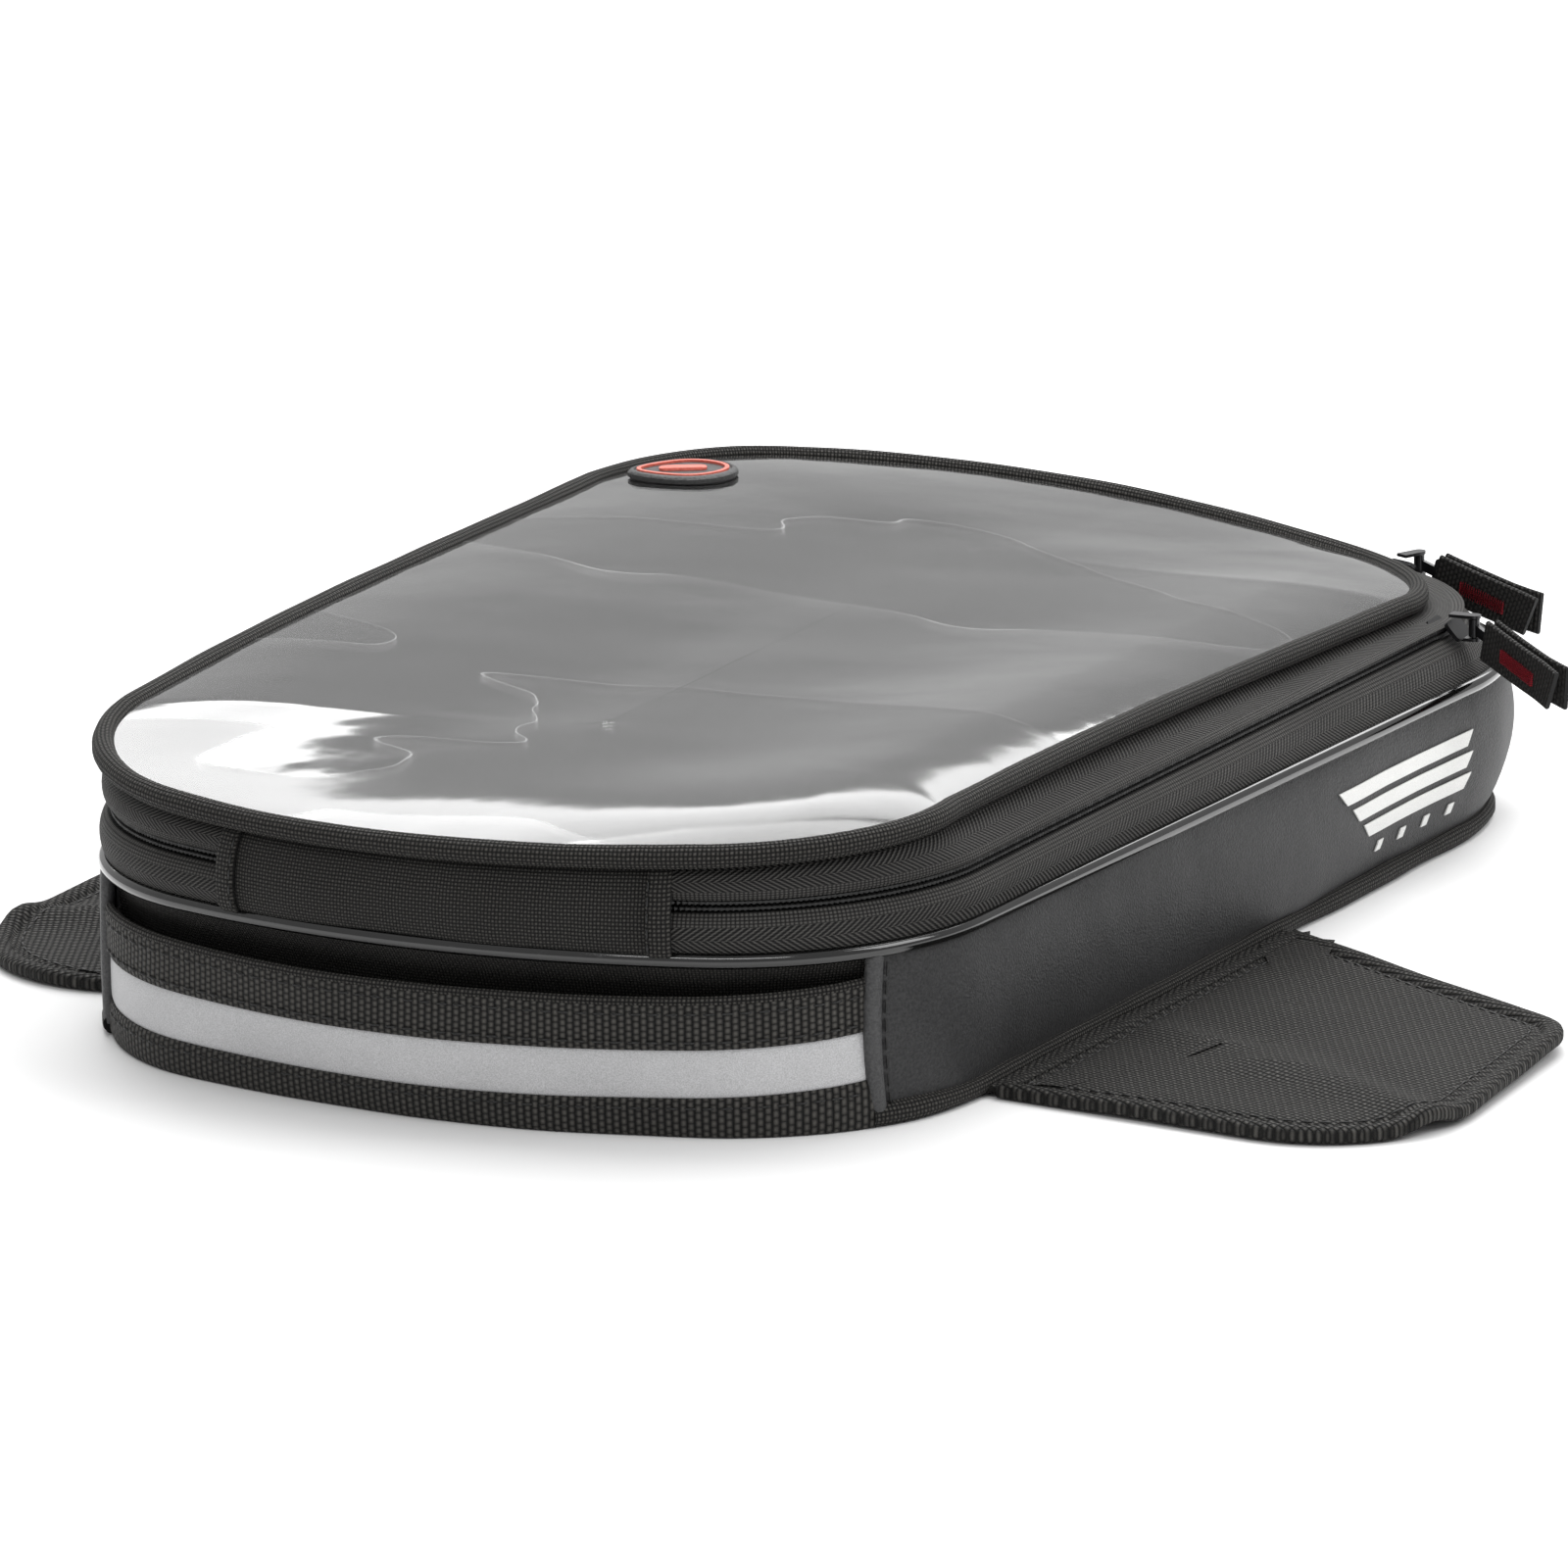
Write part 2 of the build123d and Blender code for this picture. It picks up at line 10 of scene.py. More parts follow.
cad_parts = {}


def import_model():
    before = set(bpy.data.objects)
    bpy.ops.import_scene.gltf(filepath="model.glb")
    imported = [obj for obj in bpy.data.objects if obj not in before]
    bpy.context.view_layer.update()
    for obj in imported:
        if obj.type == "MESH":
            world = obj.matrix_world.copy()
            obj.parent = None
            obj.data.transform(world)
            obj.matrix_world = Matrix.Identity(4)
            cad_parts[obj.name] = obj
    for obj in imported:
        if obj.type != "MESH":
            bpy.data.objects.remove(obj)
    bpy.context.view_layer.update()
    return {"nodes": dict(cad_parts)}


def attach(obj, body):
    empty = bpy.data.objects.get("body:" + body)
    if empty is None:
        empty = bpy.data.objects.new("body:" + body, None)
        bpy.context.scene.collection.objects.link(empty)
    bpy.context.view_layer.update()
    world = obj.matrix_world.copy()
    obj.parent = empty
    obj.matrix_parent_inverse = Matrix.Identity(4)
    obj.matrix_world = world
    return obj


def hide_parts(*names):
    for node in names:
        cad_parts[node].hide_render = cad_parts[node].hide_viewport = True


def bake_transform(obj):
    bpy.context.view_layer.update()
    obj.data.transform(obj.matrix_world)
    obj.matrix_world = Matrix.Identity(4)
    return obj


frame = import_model()
MM = 0.001
BAG, LID = "bag_body", "lid"
TAU = 2 * math.pi
UP = np.array([[0.0, 0.0, 1.0]])

# ---- plan outline
FRONT_C, FRONT_R, FRONT_BIG = (0.048, -0.133), 0.062, 0.230
FAR_C, FAR_R, FAR_BIG = (0.057, 0.1165), 0.072, 0.205
TRIM_Y = -0.169
GUSSET_X = (0.0515, 0.0605)    # how far the hinge cloth reaches left and right of the middle
PIPE_Z = 0.041
BINDING_R = 0.0025


def outline_table():
    """Dense samples round the outline from the middle of the front end, counter-clockwise."""
    front_c = FRONT_C[1] + math.sqrt((FRONT_BIG - FRONT_R) ** 2 - FRONT_C[0] ** 2)
    far_c = FAR_C[1] - math.sqrt((FAR_BIG - FAR_R) ** 2 - FAR_C[0] ** 2)
    front_a = math.atan2(FRONT_C[1] - front_c, FRONT_C[0])
    far_a = math.atan2(FAR_C[1] - far_c, FAR_C[0])
    dx, dy = FAR_C[0] - FRONT_C[0], FAR_C[1] - FRONT_C[1]
    side_a = math.atan2(dy, dx) - math.acos((FRONT_R - FAR_R) / math.hypot(dx, dy))
    half = math.pi / 2
    arcs = [
        ((0, front_c), FRONT_BIG, -half, front_a, 0),
        (FRONT_C, FRONT_R, front_a, side_a, 1),
        None,
        (FAR_C, FAR_R, side_a, far_a, 3),
        ((0, far_c), FAR_BIG, far_a, half, 4),
    ]
    rows = []
    for arc in arcs:
        share = np.linspace(0, 1, 301)[:-1]
        if arc is None:
            n = np.array([math.cos(side_a), math.sin(side_a)])
            a, b = np.array(FRONT_C) + FRONT_R * n, np.array(FAR_C) + FAR_R * n
            for q in share:
                rows.append([2 + q, *(a + q * (b - a)), *n])
            continue
        centre, radius, a0, a1, index = arc
        for q in share:
            a = a0 + q * (a1 - a0)
            n = (math.cos(a), math.sin(a))
            rows.append([index + q, centre[0] + radius * n[0], centre[1] + radius * n[1], *n])
    rows.append([5.0, 0.0, far_c + FAR_BIG, 0.0, 1.0])
    right = np.array(rows)
    left = right[::-1][1:] * np.array([-1, -1, 1, -1, 1]) + np.array([10, 0, 0, 0, 0])
    return np.concatenate([right, left])


TABLE = outline_table()


def run_along(points):
    """Distance from the first point along a path to each of its points."""
    return np.concatenate([[0], np.cumsum(np.linalg.norm(np.diff(points, axis=0), axis=1))])


S_ALL = run_along(TABLE[:, 1:3])
LENGTH = S_ALL[-1]
T_ALL = TABLE[:, 0]


def s_where(column, value, last_t):
    """Arc length where an outline coordinate passes a value, between the front and station last_t."""
    stop = int(np.searchsorted(T_ALL, last_t))
    return float(np.interp(value, TABLE[:stop, column], S_ALL[:stop]))


S_GUSSET_L, S_GUSSET = (s_where(1, x, 1.9) for x in GUSSET_X)
S_TRIM = s_where(2, TRIM_Y, 5)


def keyed(pairs):
    """A smooth periodic function of the station t (0 to 10) through the given values."""
    t0, v0 = zip(*pairs)
    grid = np.linspace(0, 10, 500, endpoint=False)
    value = np.interp(grid, list(t0) + [10], list(v0) + [v0[0]])
    kernel = np.exp(-0.5 * (np.arange(-30, 31) / 11.0) ** 2)
    value = np.convolve(np.concatenate([value[-30:], value, value[:30]]), kernel / kernel.sum(), "valid")
    return lambda t: np.interp(np.asarray(t) % 10, np.append(grid, 10), np.append(value, value[0]))


class Cols:
    """Stations along the outline between two arc lengths."""

    def __init__(self, s0=0.0, s1=None, step=0.0024, closed=False, s=None):
        span = LENGTH if s1 is None else s1 - s0
        n = max(2, int(round(span / step)))
        self.s = s0 + span * np.arange(n if closed else n + 1) / n if s is None else np.array(s)
        w = self.s % LENGTH
        self.t = np.interp(w, S_ALL, T_ALL)
        self.p = np.stack([np.interp(w, S_ALL, TABLE[:, i]) for i in (1, 2)], -1)
        n2 = np.stack([np.interp(w, S_ALL, TABLE[:, i]) for i in (3, 4)], -1)
        self.n = n2 / np.linalg.norm(n2, axis=1)[:, None]
        self.b = far_share(self.t)
        self.closed = closed
        self.u = np.append(self.s, s0 + span) if closed else self.s
        self.size = len(self.s)

    def outwards(self):
        return np.column_stack([self.n, np.zeros(self.size)])

    def at(self, out, z):
        """Points moved outwards by out, at height z."""
        out = np.broadcast_to(out, (self.size,))
        z = np.broadcast_to(z, (self.size,))
        return np.column_stack([self.p + self.n * out[:, None], z])


def far_share(t):
    return np.clip(np.minimum(t, 10 - t) - 2, 0, 1)


rim_height = keyed([
    (0, 63.2), (0.6, 63.8), (1.2, 65.3), (1.7, 66.6), (2.2, 66.5), (2.6, 62.5), (3.0, 58.2), (3.4, 57),
    (3.8, 56.8), (4.3, 58.6), (5.0, 64), (5.7, 69), (6.2, 71.5), (6.6, 72), (7.0, 72), (7.4, 73),
    (7.8, 72.5), (8.3, 68.5), (8.8, 65), (9.4, 63.2)])
rim_step = keyed([
    (0, 0.2), (0.6, 0.5), (1.2, 0.9), (1.7, 1.8), (2.15, 9), (2.5, 15), (2.9, 19.5), (3.4, 21),
    (3.8, 21.5), (4.3, 20.3), (5.0, 18.1), (5.7, 16.5), (6.2, 15.6), (7.0, 15), (7.4, 7), (7.8, 0.6),
    (8.3, 0.2), (8.8, 0.2)])
zip_height = keyed([
    (0, 52.6), (1, 53.2), (1.7, 53.8), (2.5, 53.3), (3, 52.6), (3.6, 52.4), (4.3, 52.6), (5, 53),
    (6, 54), (7, 55.5), (7.5, 55.8), (8, 55.2), (8.6, 53.5)])


def rim_z(c):
    return rim_height(c.t) * MM


def rim_in(c):
    return rim_step(c.t) * MM


def zip_z(c):
    return zip_height(c.t) * MM


def zip_in(c):
    """Inset of the zip line: the CAD one where the sliders run, halfway up elsewhere."""
    return 0.5 * (0.018 * c.b + 0.001 * (1 - c.b))


def base_in(c):
    return 0.004 * c.b


# ---- mesh helpers
def link(name, mesh, mat, body=None, slot=None, nodes=(), sharp=40):
    obj = bpy.data.objects.new(name, mesh)
    bpy.context.scene.collection.objects.link(obj)
    if mat is not None:
        mesh.materials.append(mat)
    mesh.polygons.foreach_set("use_smooth", [True] * len(mesh.polygons))
    if sharp:
        mesh.set_sharp_from_angle(angle=math.radians(sharp))
    if body:
        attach(obj, body)
    if nodes:
        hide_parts(*nodes)
    return obj


def on(body, slot, *nodes):
    """What a piece rides on, a material slot name that link does not use, and the nodes it stands in for."""
    return {"body": body, "slot": slot, "nodes": nodes}


def grid(name, points, mat, u=None, v=None, wrap_rows=False, wrap_cols=False, caps=False, **tie):
    """A quad grid of rows by columns, with UVs in metres."""
    points = np.asarray(points, float)
    k, n = points.shape[:2]
    kr, nc = (k if wrap_rows else k - 1), (n if wrap_cols else n - 1)
    i, j = [a.ravel() for a in np.meshgrid(np.arange(kr), np.arange(nc), indexing="ij")]
    i2, j2 = (i + 1) % k, (j + 1) % n
    faces = np.stack([i * n + j, i * n + j2, i2 * n + j2, i2 * n + j], -1).tolist()
    if u is None:
        mid = points[k // 2]
        u = run_along(np.vstack([mid, mid[:1]]))
    if v is None:
        col = points[:, n // 2]
        v = run_along(np.vstack([col, col[:1]]))
    u, v = np.asarray(u, float), np.asarray(v, float)
    big_u = u if u.ndim == 2 else np.broadcast_to(u[None, :], (len(v) if v.ndim == 1 else v.shape[0], len(u)))
    big_v = v if v.ndim == 2 else np.broadcast_to(v[:, None], (len(v), big_u.shape[1]))
    i1, j1 = i + 1, j + 1
    i1 = np.minimum(i1, big_u.shape[0] - 1)
    j1 = np.minimum(j1, big_u.shape[1] - 1)
    corner = [(i, j), (i, j1), (i1, j1), (i1, j)]
    uv = np.stack([np.stack([big_u[a, b], big_v[a, b]], -1) for a, b in corner], 1).reshape(-1, 2)
    if caps and wrap_rows:
        faces.append([r * n for r in range(k)])
        faces.append([r * n + n - 1 for r in reversed(range(k))])
        ends = [np.stack([np.zeros(k), v[:k]], -1), np.stack([np.zeros(k), v[:k][::-1]], -1)]
        uv = np.concatenate([uv] + ends)
    mesh = bpy.data.meshes.new(name)
    mesh.from_pydata(points.reshape(-1, 3).tolist(), [], faces)
    mesh.uv_layers.new(name="UVMap").data.foreach_set("uv", uv.astype(np.float32).ravel())
    return link(name, mesh, mat, **tie)


def lumpy(points, amp, size, seed=0):
    """Smooth noise at each of an array of points."""
    flat = points.reshape(-1, 3)
    out = np.empty(len(flat))
    for i, p in enumerate(flat):
        out[i] = noise.noise(Vector((p[0] / size + seed, p[1] / size, p[2] / size)))
    return out.reshape(points.shape[:-1]) * amp


def tube(name, centre, side, up, radius, mat, wrap=True, sides=10, caps=False, u=None, **tie):
    """A round bead along points, with its section in the side and up directions."""
    a = np.linspace(0, TAU, sides, endpoint=False) - math.pi / 2
    radius = np.broadcast_to(radius, (len(centre),))
    rows = [centre + side * (radius * math.cos(q))[:, None] + up * (radius * math.sin(q))[:, None] for q in a]
    v = np.append(a - a[0], TAU) * float(np.mean(radius))
    return grid(name, np.array(rows), mat, u=u, v=v, wrap_rows=True, wrap_cols=wrap, caps=caps, **tie)


def bead(name, c, out, z, radius, mat, sides=10, **tie):
    centre = c.at(out, z)
    return tube(name, centre, c.outwards(), UP, radius, mat, wrap=c.closed, sides=sides,
                caps=not c.closed, u=c.u, **tie)


def shell(name, c, rows, mat, thick=0.001, **tie):
    """A cloth band: rows of (out, z) from bottom to top on its outer face, closed behind by its thickness."""
    outer = [c.at(o, z) for o, z in rows]
    inner = [c.at(np.asarray(o) - thick, z) for o, z in rows[::-1]]
    return grid(name, np.array(outer + inner), mat, u=c.u, wrap_rows=True, wrap_cols=c.closed,
                caps=not c.closed, **tie)


def frames_along(path):
    tangent = np.gradient(path, axis=0)
    return tangent / np.linalg.norm(tangent, axis=1)[:, None]


def stitches(name, path, normal, mat, length=0.0030, pitch=0.0042, radius=0.00028, lift=0.0, **tie):
    """Separate thread stitches along a path, each a short rounded bar lying on the surface."""
    run = run_along(path)
    starts = np.arange(pitch / 2, run[-1] - length, pitch)
    verts, faces, sides = [], [], 5
    for s in starts:
        q = s + length * np.array([0, 0.15, 0.5, 0.85, 1.0])
        p = np.stack([np.interp(q, run, path[:, i]) for i in range(3)], -1)
        m = np.stack([np.interp(q, run, normal[:, i]) for i in range(3)], -1)
        m /= np.linalg.norm(m, axis=1)[:, None]
        t = frames_along(p)
        b = np.cross(t, m)
        r = radius * np.array([0.25, 0.9, 1.0, 0.9, 0.25])
        h = lift + radius * np.array([-0.9, 0.1, 0.35, 0.1, -0.9])
        base = len(verts)
        for i in range(5):
            for k in range(sides):
                a = TAU * k / sides
                verts.append(p[i] + m[i] * (h[i] + r[i] * math.sin(a)) + b[i] * r[i] * math.cos(a))
        for i in range(4):
            for k in range(sides):
                k2 = (k + 1) % sides
                faces.append((base + i * sides + k, base + i * sides + k2,
                              base + (i + 1) * sides + k2, base + (i + 1) * sides + k))
        faces.append(tuple(base + k for k in reversed(range(sides))))
        faces.append(tuple(base + 4 * sides + k for k in range(sides)))
    mesh = bpy.data.meshes.new(name)
    mesh.from_pydata([tuple(v) for v in verts], [], faces)
    return link(name, mesh, mat, sharp=0, **tie)


# ---- materials
class Nodes:
    """Short ways to add nodes to one material."""

    def __init__(self, name):
        self.mat = bpy.data.materials.new(name)
        self.mat.use_nodes = True
        self.tree = self.mat.node_tree
        self.tree.nodes.clear()
        self.out = self.add("ShaderNodeOutputMaterial")

    def add(self, kind, **props):
        node = self.tree.nodes.new(kind)
        for key, value in props.items():
            setattr(node, key, value)
        return node

    def put(self, socket, value):
        if isinstance(value, bpy.types.NodeSocket):
            self.tree.links.new(value, socket)
        elif value is not None:
            socket.default_value = value

    def math(self, op, a, b=None, c=None, clamp=False):
        node = self.add("ShaderNodeMath", operation=op, use_clamp=clamp)
        for socket, value in zip(node.inputs, (a, b, c)):
            self.put(socket, value)
        return node.outputs[0]

    mul = partialmethod(math, "MULTIPLY")
    plus = partialmethod(math, "ADD")
    minus = partialmethod(math, "SUBTRACT")
    div = partialmethod(math, "DIVIDE")
    mad = partialmethod(math, "MULTIPLY_ADD")
    power = partialmethod(math, "POWER")
    fract = partialmethod(math, "FRACT")
    sine = partialmethod(math, "SINE")
    floor = partialmethod(math, "FLOOR")
    modulo = partialmethod(math, "FLOORED_MODULO")

    def mix(self, fac, a, b):
        node = self.add("ShaderNodeMix", data_type="RGBA")
        self.put(node.inputs[0], fac)
        self.put(node.inputs[6], a if not isinstance(a, tuple) else (*a, 1))
        self.put(node.inputs[7], b if not isinstance(b, tuple) else (*b, 1))
        return node.outputs[2]

    def uv(self, turn=0.0):
        node = self.add("ShaderNodeUVMap", uv_map="UVMap")
        split = self.add("ShaderNodeSeparateXYZ")
        if turn:
            rot = self.add("ShaderNodeVectorRotate", rotation_type="Z_AXIS")
            rot.inputs["Angle"].default_value = turn
            self.put(rot.inputs["Vector"], node.outputs[0])
            self.put(split.inputs[0], rot.outputs[0])
        else:
            self.put(split.inputs[0], node.outputs[0])
        return split.outputs[0], split.outputs[1]

    def place(self):
        return self.add("ShaderNodeTexCoord").outputs["Object"]

    def noise(self, scale, detail=3.0, rough=0.55, vector=None):
        node = self.add("ShaderNodeTexNoise")
        node.inputs["Scale"].default_value = scale
        node.inputs["Detail"].default_value = detail
        node.inputs["Roughness"].default_value = rough
        self.put(node.inputs["Vector"], vector or self.place())
        return node.outputs["Fac"]

    def ramp(self, value, low, high, to_low=0.0, to_high=1.0):
        node = self.add("ShaderNodeMapRange")
        node.interpolation_type = "SMOOTHSTEP"
        keys = ("Value", "From Min", "From Max", "To Min", "To Max")
        for key, v in zip(keys, (value, low, high, to_low, to_high)):
            self.put(node.inputs[key], v)
        return node.outputs[0]

    def bump(self, height, distance, strength=1.0, under=None):
        node = self.add("ShaderNodeBump")
        node.inputs["Strength"].default_value = strength
        node.inputs["Distance"].default_value = distance
        self.put(node.inputs["Height"], height)
        if under is not None:
            self.put(node.inputs["Normal"], under)
        return node.outputs[0]

    def painted_crest_light(self, h, power, fuzz, fuzz_gain, broad, broad_gain, shade=None):
        """Height raised to a power and mottled, the share of the light colour to use: painted highlight on
        the raised yarn, painted shade in the gaps.
        """
        tone = self.mul(self.mad(fuzz, fuzz_gain, 1 - fuzz_gain / 2),
                        self.mad(broad, broad_gain, 1 - broad_gain / 2))
        if shade is not None:
            tone = self.mul(tone, shade)
        return self.mul(self.power(h, power), tone, clamp=True)

    def surface(self, colour, rough, normal=None, **extra):
        node = self.add("ShaderNodeBsdfPrincipled")
        self.put(node.inputs["Base Color"], colour if not isinstance(colour, tuple) else (*colour, 1))
        self.put(node.inputs["Roughness"], rough)
        if normal is not None:
            self.put(node.inputs["Normal"], normal)
        for key, value in extra.items():
            node.inputs[key.replace("_", " ")].default_value = value
        self.put(self.out.inputs[0], node.outputs[0])
        return node


def weave_height(m, u, v, pitch_u, pitch_v):
    """Plain weave: (height, 1 where the yarn along u is on top)."""
    a, b = m.div(u, pitch_u), m.div(v, pitch_v)
    fa, fb = m.fract(a), m.fract(b)
    parity = m.modulo(m.plus(m.floor(a), m.floor(b)), 2.0)
    ha, hb = m.sine(m.mul(fa, math.pi)), m.sine(m.mul(fb, math.pi))
    over = m.mul(m.power(hb, 0.45), m.mad(ha, 0.7, 0.3))
    cross = m.mul(m.power(ha, 0.45), m.mad(hb, 0.7, 0.3))
    part = m.mul(m.minus(over, cross), parity)
    return m.plus(cross, part), parity


def make_weave(name, dark, light, pitch=0.00070, depth=0.00035, rough=0.62, turn=0.0, stretch=1.0):
    m = Nodes(name)
    u, v = m.uv(turn)
    wobble = m.mul(m.minus(m.noise(180.0, 2.0), 0.5), 0.0004)
    u, v = m.plus(u, wobble), m.plus(v, wobble)
    h, parity = weave_height(m, u, v, pitch * stretch, pitch)
    fuzz = m.noise(2600.0, 2.0)
    amount = m.painted_crest_light(h, 2.6, fuzz, 0.5, m.noise(38.0, 3.0), 0.5, m.mad(parity, -0.40, 1.1))
    normal = m.bump(m.plus(h, m.mul(fuzz, 0.25)), depth)
    # colour follows yarn height: painted highlight on the crests, painted shade between the yarns
    m.surface(m.mix(amount, dark, light), m.ramp(amount, 0, 1, rough + 0.14, rough - 0.06), normal,
              Sheen_Weight=0.02, Sheen_Roughness=0.45, Specular_IOR_Level=0.22)
    return m.mat


def make_webbing(name, dark, light, rib=0.0014, row=0.00125, depth=0.00045):
    """Ribbed webbing: ribs across the band, each a column of slanted yarn humps in brick order."""
    m = Nodes(name)
    u, v = m.uv()
    a = m.div(u, rib)
    fa = m.fract(a)
    shift = m.mul(m.modulo(m.floor(a), 2.0), 0.5)
    b = m.plus(m.div(v, row), shift)
    fb = m.fract(b)
    rib_h = m.power(m.sine(m.mul(fa, math.pi)), 0.6)
    yarn_h = m.power(m.sine(m.mul(fb, math.pi)), 0.5)
    h = m.mul(rib_h, m.mad(yarn_h, 0.6, 0.4))
    fuzz = m.noise(2300.0, 2.0)
    amount = m.painted_crest_light(h, 2.6, fuzz, 0.5, m.noise(45.0, 2.0), 0.4)
    normal = m.bump(m.plus(h, m.mul(fuzz, 0.2)), depth)
    # colour follows yarn height: painted highlight on the humps, painted shade between the ribs
    m.surface(m.mix(amount, dark, light), 0.6, normal,
              Sheen_Weight=0.02, Sheen_Roughness=0.4, Specular_IOR_Level=0.22)
    return m.mat


def make_tape(name):
    """Zip tape: herringbone bands of diagonal ribs, with a chequered sewn band beside the teeth.
    v is the height above the zip line on either tape, so both tapes mirror each other."""
    m = Nodes(name)
    u, v = m.uv()
    band = 0.0036
    vb = m.div(v, band)
    flip = m.mad(m.modulo(m.floor(vb), 2.0), 2.0, -1.0)
    slant = m.mul(m.mul(m.fract(vb), flip), band)
    ribs = m.sine(m.mul(m.plus(u, m.mul(slant, 1.15)), TAU / 0.00165))
    fine = m.sine(m.mul(v, TAU / 0.0007))
    chevron = m.mad(ribs, 0.45, m.mad(fine, 0.12, 0.5))
    check, _ = weave_height(m, u, v, 0.0010, 0.0009)
    sewn = m.ramp(v, 0.0034, 0.0038, 1.0, 0.0)
    h = m.plus(m.mul(chevron, m.minus(1.0, sewn)), m.mul(check, sewn))
    fuzz = m.noise(2500.0, 2.0)
    amount = m.painted_crest_light(h, 1.9, fuzz, 0.5, m.noise(40.0, 2.0), 0.5)
    normal = m.bump(m.plus(h, m.mul(fuzz, 0.15)), 0.00026)
    # colour follows rib height: painted highlight on the ribs, painted shade between them
    m.surface(m.mix(amount, (0.0012, 0.0012, 0.0012), (0.074, 0.071, 0.067)), 0.62, normal,
              Sheen_Weight=0.02, Sheen_Roughness=0.4, Specular_IOR_Level=0.2)
    return m.mat


def make_grain(name, dark, light, rough=0.55, size=0.00055, depth=0.00012, spec=0.5):
    """Fine grained coated cloth or moulded rubber."""
    m = Nodes(name)
    cells = m.add("ShaderNodeTexVoronoi", feature="SMOOTH_F1")
    cells.inputs["Scale"].default_value = 1 / size
    cells.inputs["Smoothness"].default_value = 0.6
    m.put(cells.inputs["Vector"], m.place())
    grain = m.noise(1500.0, 3.0)
    broad = m.noise(24.0, 3.0)
    h = m.plus(m.mul(cells.outputs["Distance"], 0.9), m.mul(grain, 0.8))
    tone = m.mad(m.minus(grain, 0.5), 1.6, m.mad(broad, 0.5, 0.25), clamp=True)
    normal = m.bump(h, depth, under=m.bump(m.noise(120.0, 2.0), 0.0006, 0.35))
    m.surface(m.mix(tone, dark, light), m.ramp(broad, 0.3, 0.7, rough - 0.05, rough + 0.07), normal,
              Specular_IOR_Level=spec, Sheen_Weight=0.05)
    return m.mat


def make_gloss(name, colour, rough, coat=1.0, metallic=0.0):
    m = Nodes(name)
    marks = m.noise(900.0, 4.0, 0.7)
    wear = m.noise(60.0, 3.0)
    amount = m.mul(m.ramp(marks, 0.52, 0.75), m.ramp(wear, 0.45, 0.7), clamp=True)
    tone = m.mix(amount, colour, tuple(min(1.0, q * 1.8 + 0.03) for q in colour))
    m.surface(tone, m.ramp(amount, 0, 1, rough, rough + 0.2), m.bump(marks, 0.00003, 0.6),
              Coat_Weight=coat, Coat_Roughness=0.06, Metallic=metallic)
    return m.mat


def make_reflective(name, dark, light, metallic=0.2):
    """Glass-bead reflective film: pale, finely speckled; on the strip the light specks are painted glints of
    the beads, on the print they are wear.
    """
    m = Nodes(name)
    glint_and_wear_speck = m.noise(3400.0, 2.0, 0.7)
    broad = m.noise(32.0, 4.0)
    # light specks: painted bead glints on the strip, wear on the print
    tone = m.plus(m.ramp(glint_and_wear_speck, 0.3, 0.7, 0.0, 0.65), m.mul(broad, 0.5), clamp=True)
    m.surface(m.mix(tone, dark, light), m.ramp(glint_and_wear_speck, 0.3, 0.7, 0.34, 0.6), m.bump(glint_and_wear_speck, 0.00006),
              Metallic=metallic)
    return m.mat


def contact_mask(m):
    """Where the clear film lies against the cloth under it, and the thin line round those places, which the
    film paints as a pale reflection.
    """
    split = m.add("ShaderNodeMapping")
    m.put(split.inputs["Vector"], m.place())
    split.inputs["Rotation"].default_value = (0, 0, -0.52)
    split.inputs["Scale"].default_value = (0.70, 1.7, 0.0)
    split.inputs["Location"].default_value = (0.31, 0.17, 0.0)
    field = m.noise(6.0, 3.0, 0.36, vector=split.outputs[0])
    mask = m.ramp(field, 0.535, 0.545)
    # this line is where the film gets its painted reflection
    line = m.minus(1.0, m.ramp(m.math("ABSOLUTE", m.minus(field, 0.54)), 0.0002, 0.0009))
    return mask, line


def make_film(name):
    """Clear PVC: transparent with Fresnel gloss, faint scuffs and a painted reflection: the pale line round
    the contact patches.
    """
    m = Nodes(name)
    mask, line = contact_mask(m)
    scuff = m.ramp(m.noise(420.0, 5.0, 0.75), 0.70, 0.76)
    ripple = m.noise(55.0, 2.0, 0.4)
    normal = m.bump(ripple, 0.00035, 0.5)
    gloss = m.add("ShaderNodeBsdfGlossy")
    m.put(gloss.inputs["Color"], (1, 1, 1, 1))
    m.put(gloss.inputs["Roughness"], m.ramp(mask, 0, 1, 0.07, 0.11))
    m.put(gloss.inputs["Normal"], normal)
    clear = m.add("ShaderNodeBsdfTransparent")
    m.put(clear.inputs["Color"], (0.93, 0.93, 0.93, 1))
    fresnel = m.add("ShaderNodeFresnel")
    fresnel.inputs["IOR"].default_value = 1.5
    m.put(fresnel.inputs["Normal"], normal)
    share = m.mul(fresnel.outputs[0], m.ramp(mask, 0, 1, 1.75, 1.45), clamp=True)
    mixed = m.add("ShaderNodeMixShader")
    m.put(mixed.inputs[0], share)
    m.put(mixed.inputs[1], clear.outputs[0])
    m.put(mixed.inputs[2], gloss.outputs[0])
    # pale diffuse mixed in: painted reflection along the contact line, and the real scuffs
    pale = m.add("ShaderNodeBsdfDiffuse")
    m.put(pale.inputs["Color"], (0.8, 0.8, 0.8, 1))
    both = m.add("ShaderNodeMixShader")
    m.put(both.inputs[0], m.mul(m.math("MAXIMUM", line, m.mul(scuff, 0.25)), 0.22))
    m.put(both.inputs[1], mixed.outputs[0])
    m.put(both.inputs[2], pale.outputs[0])
    m.put(m.out.inputs[0], both.outputs[0])
    return m.mat


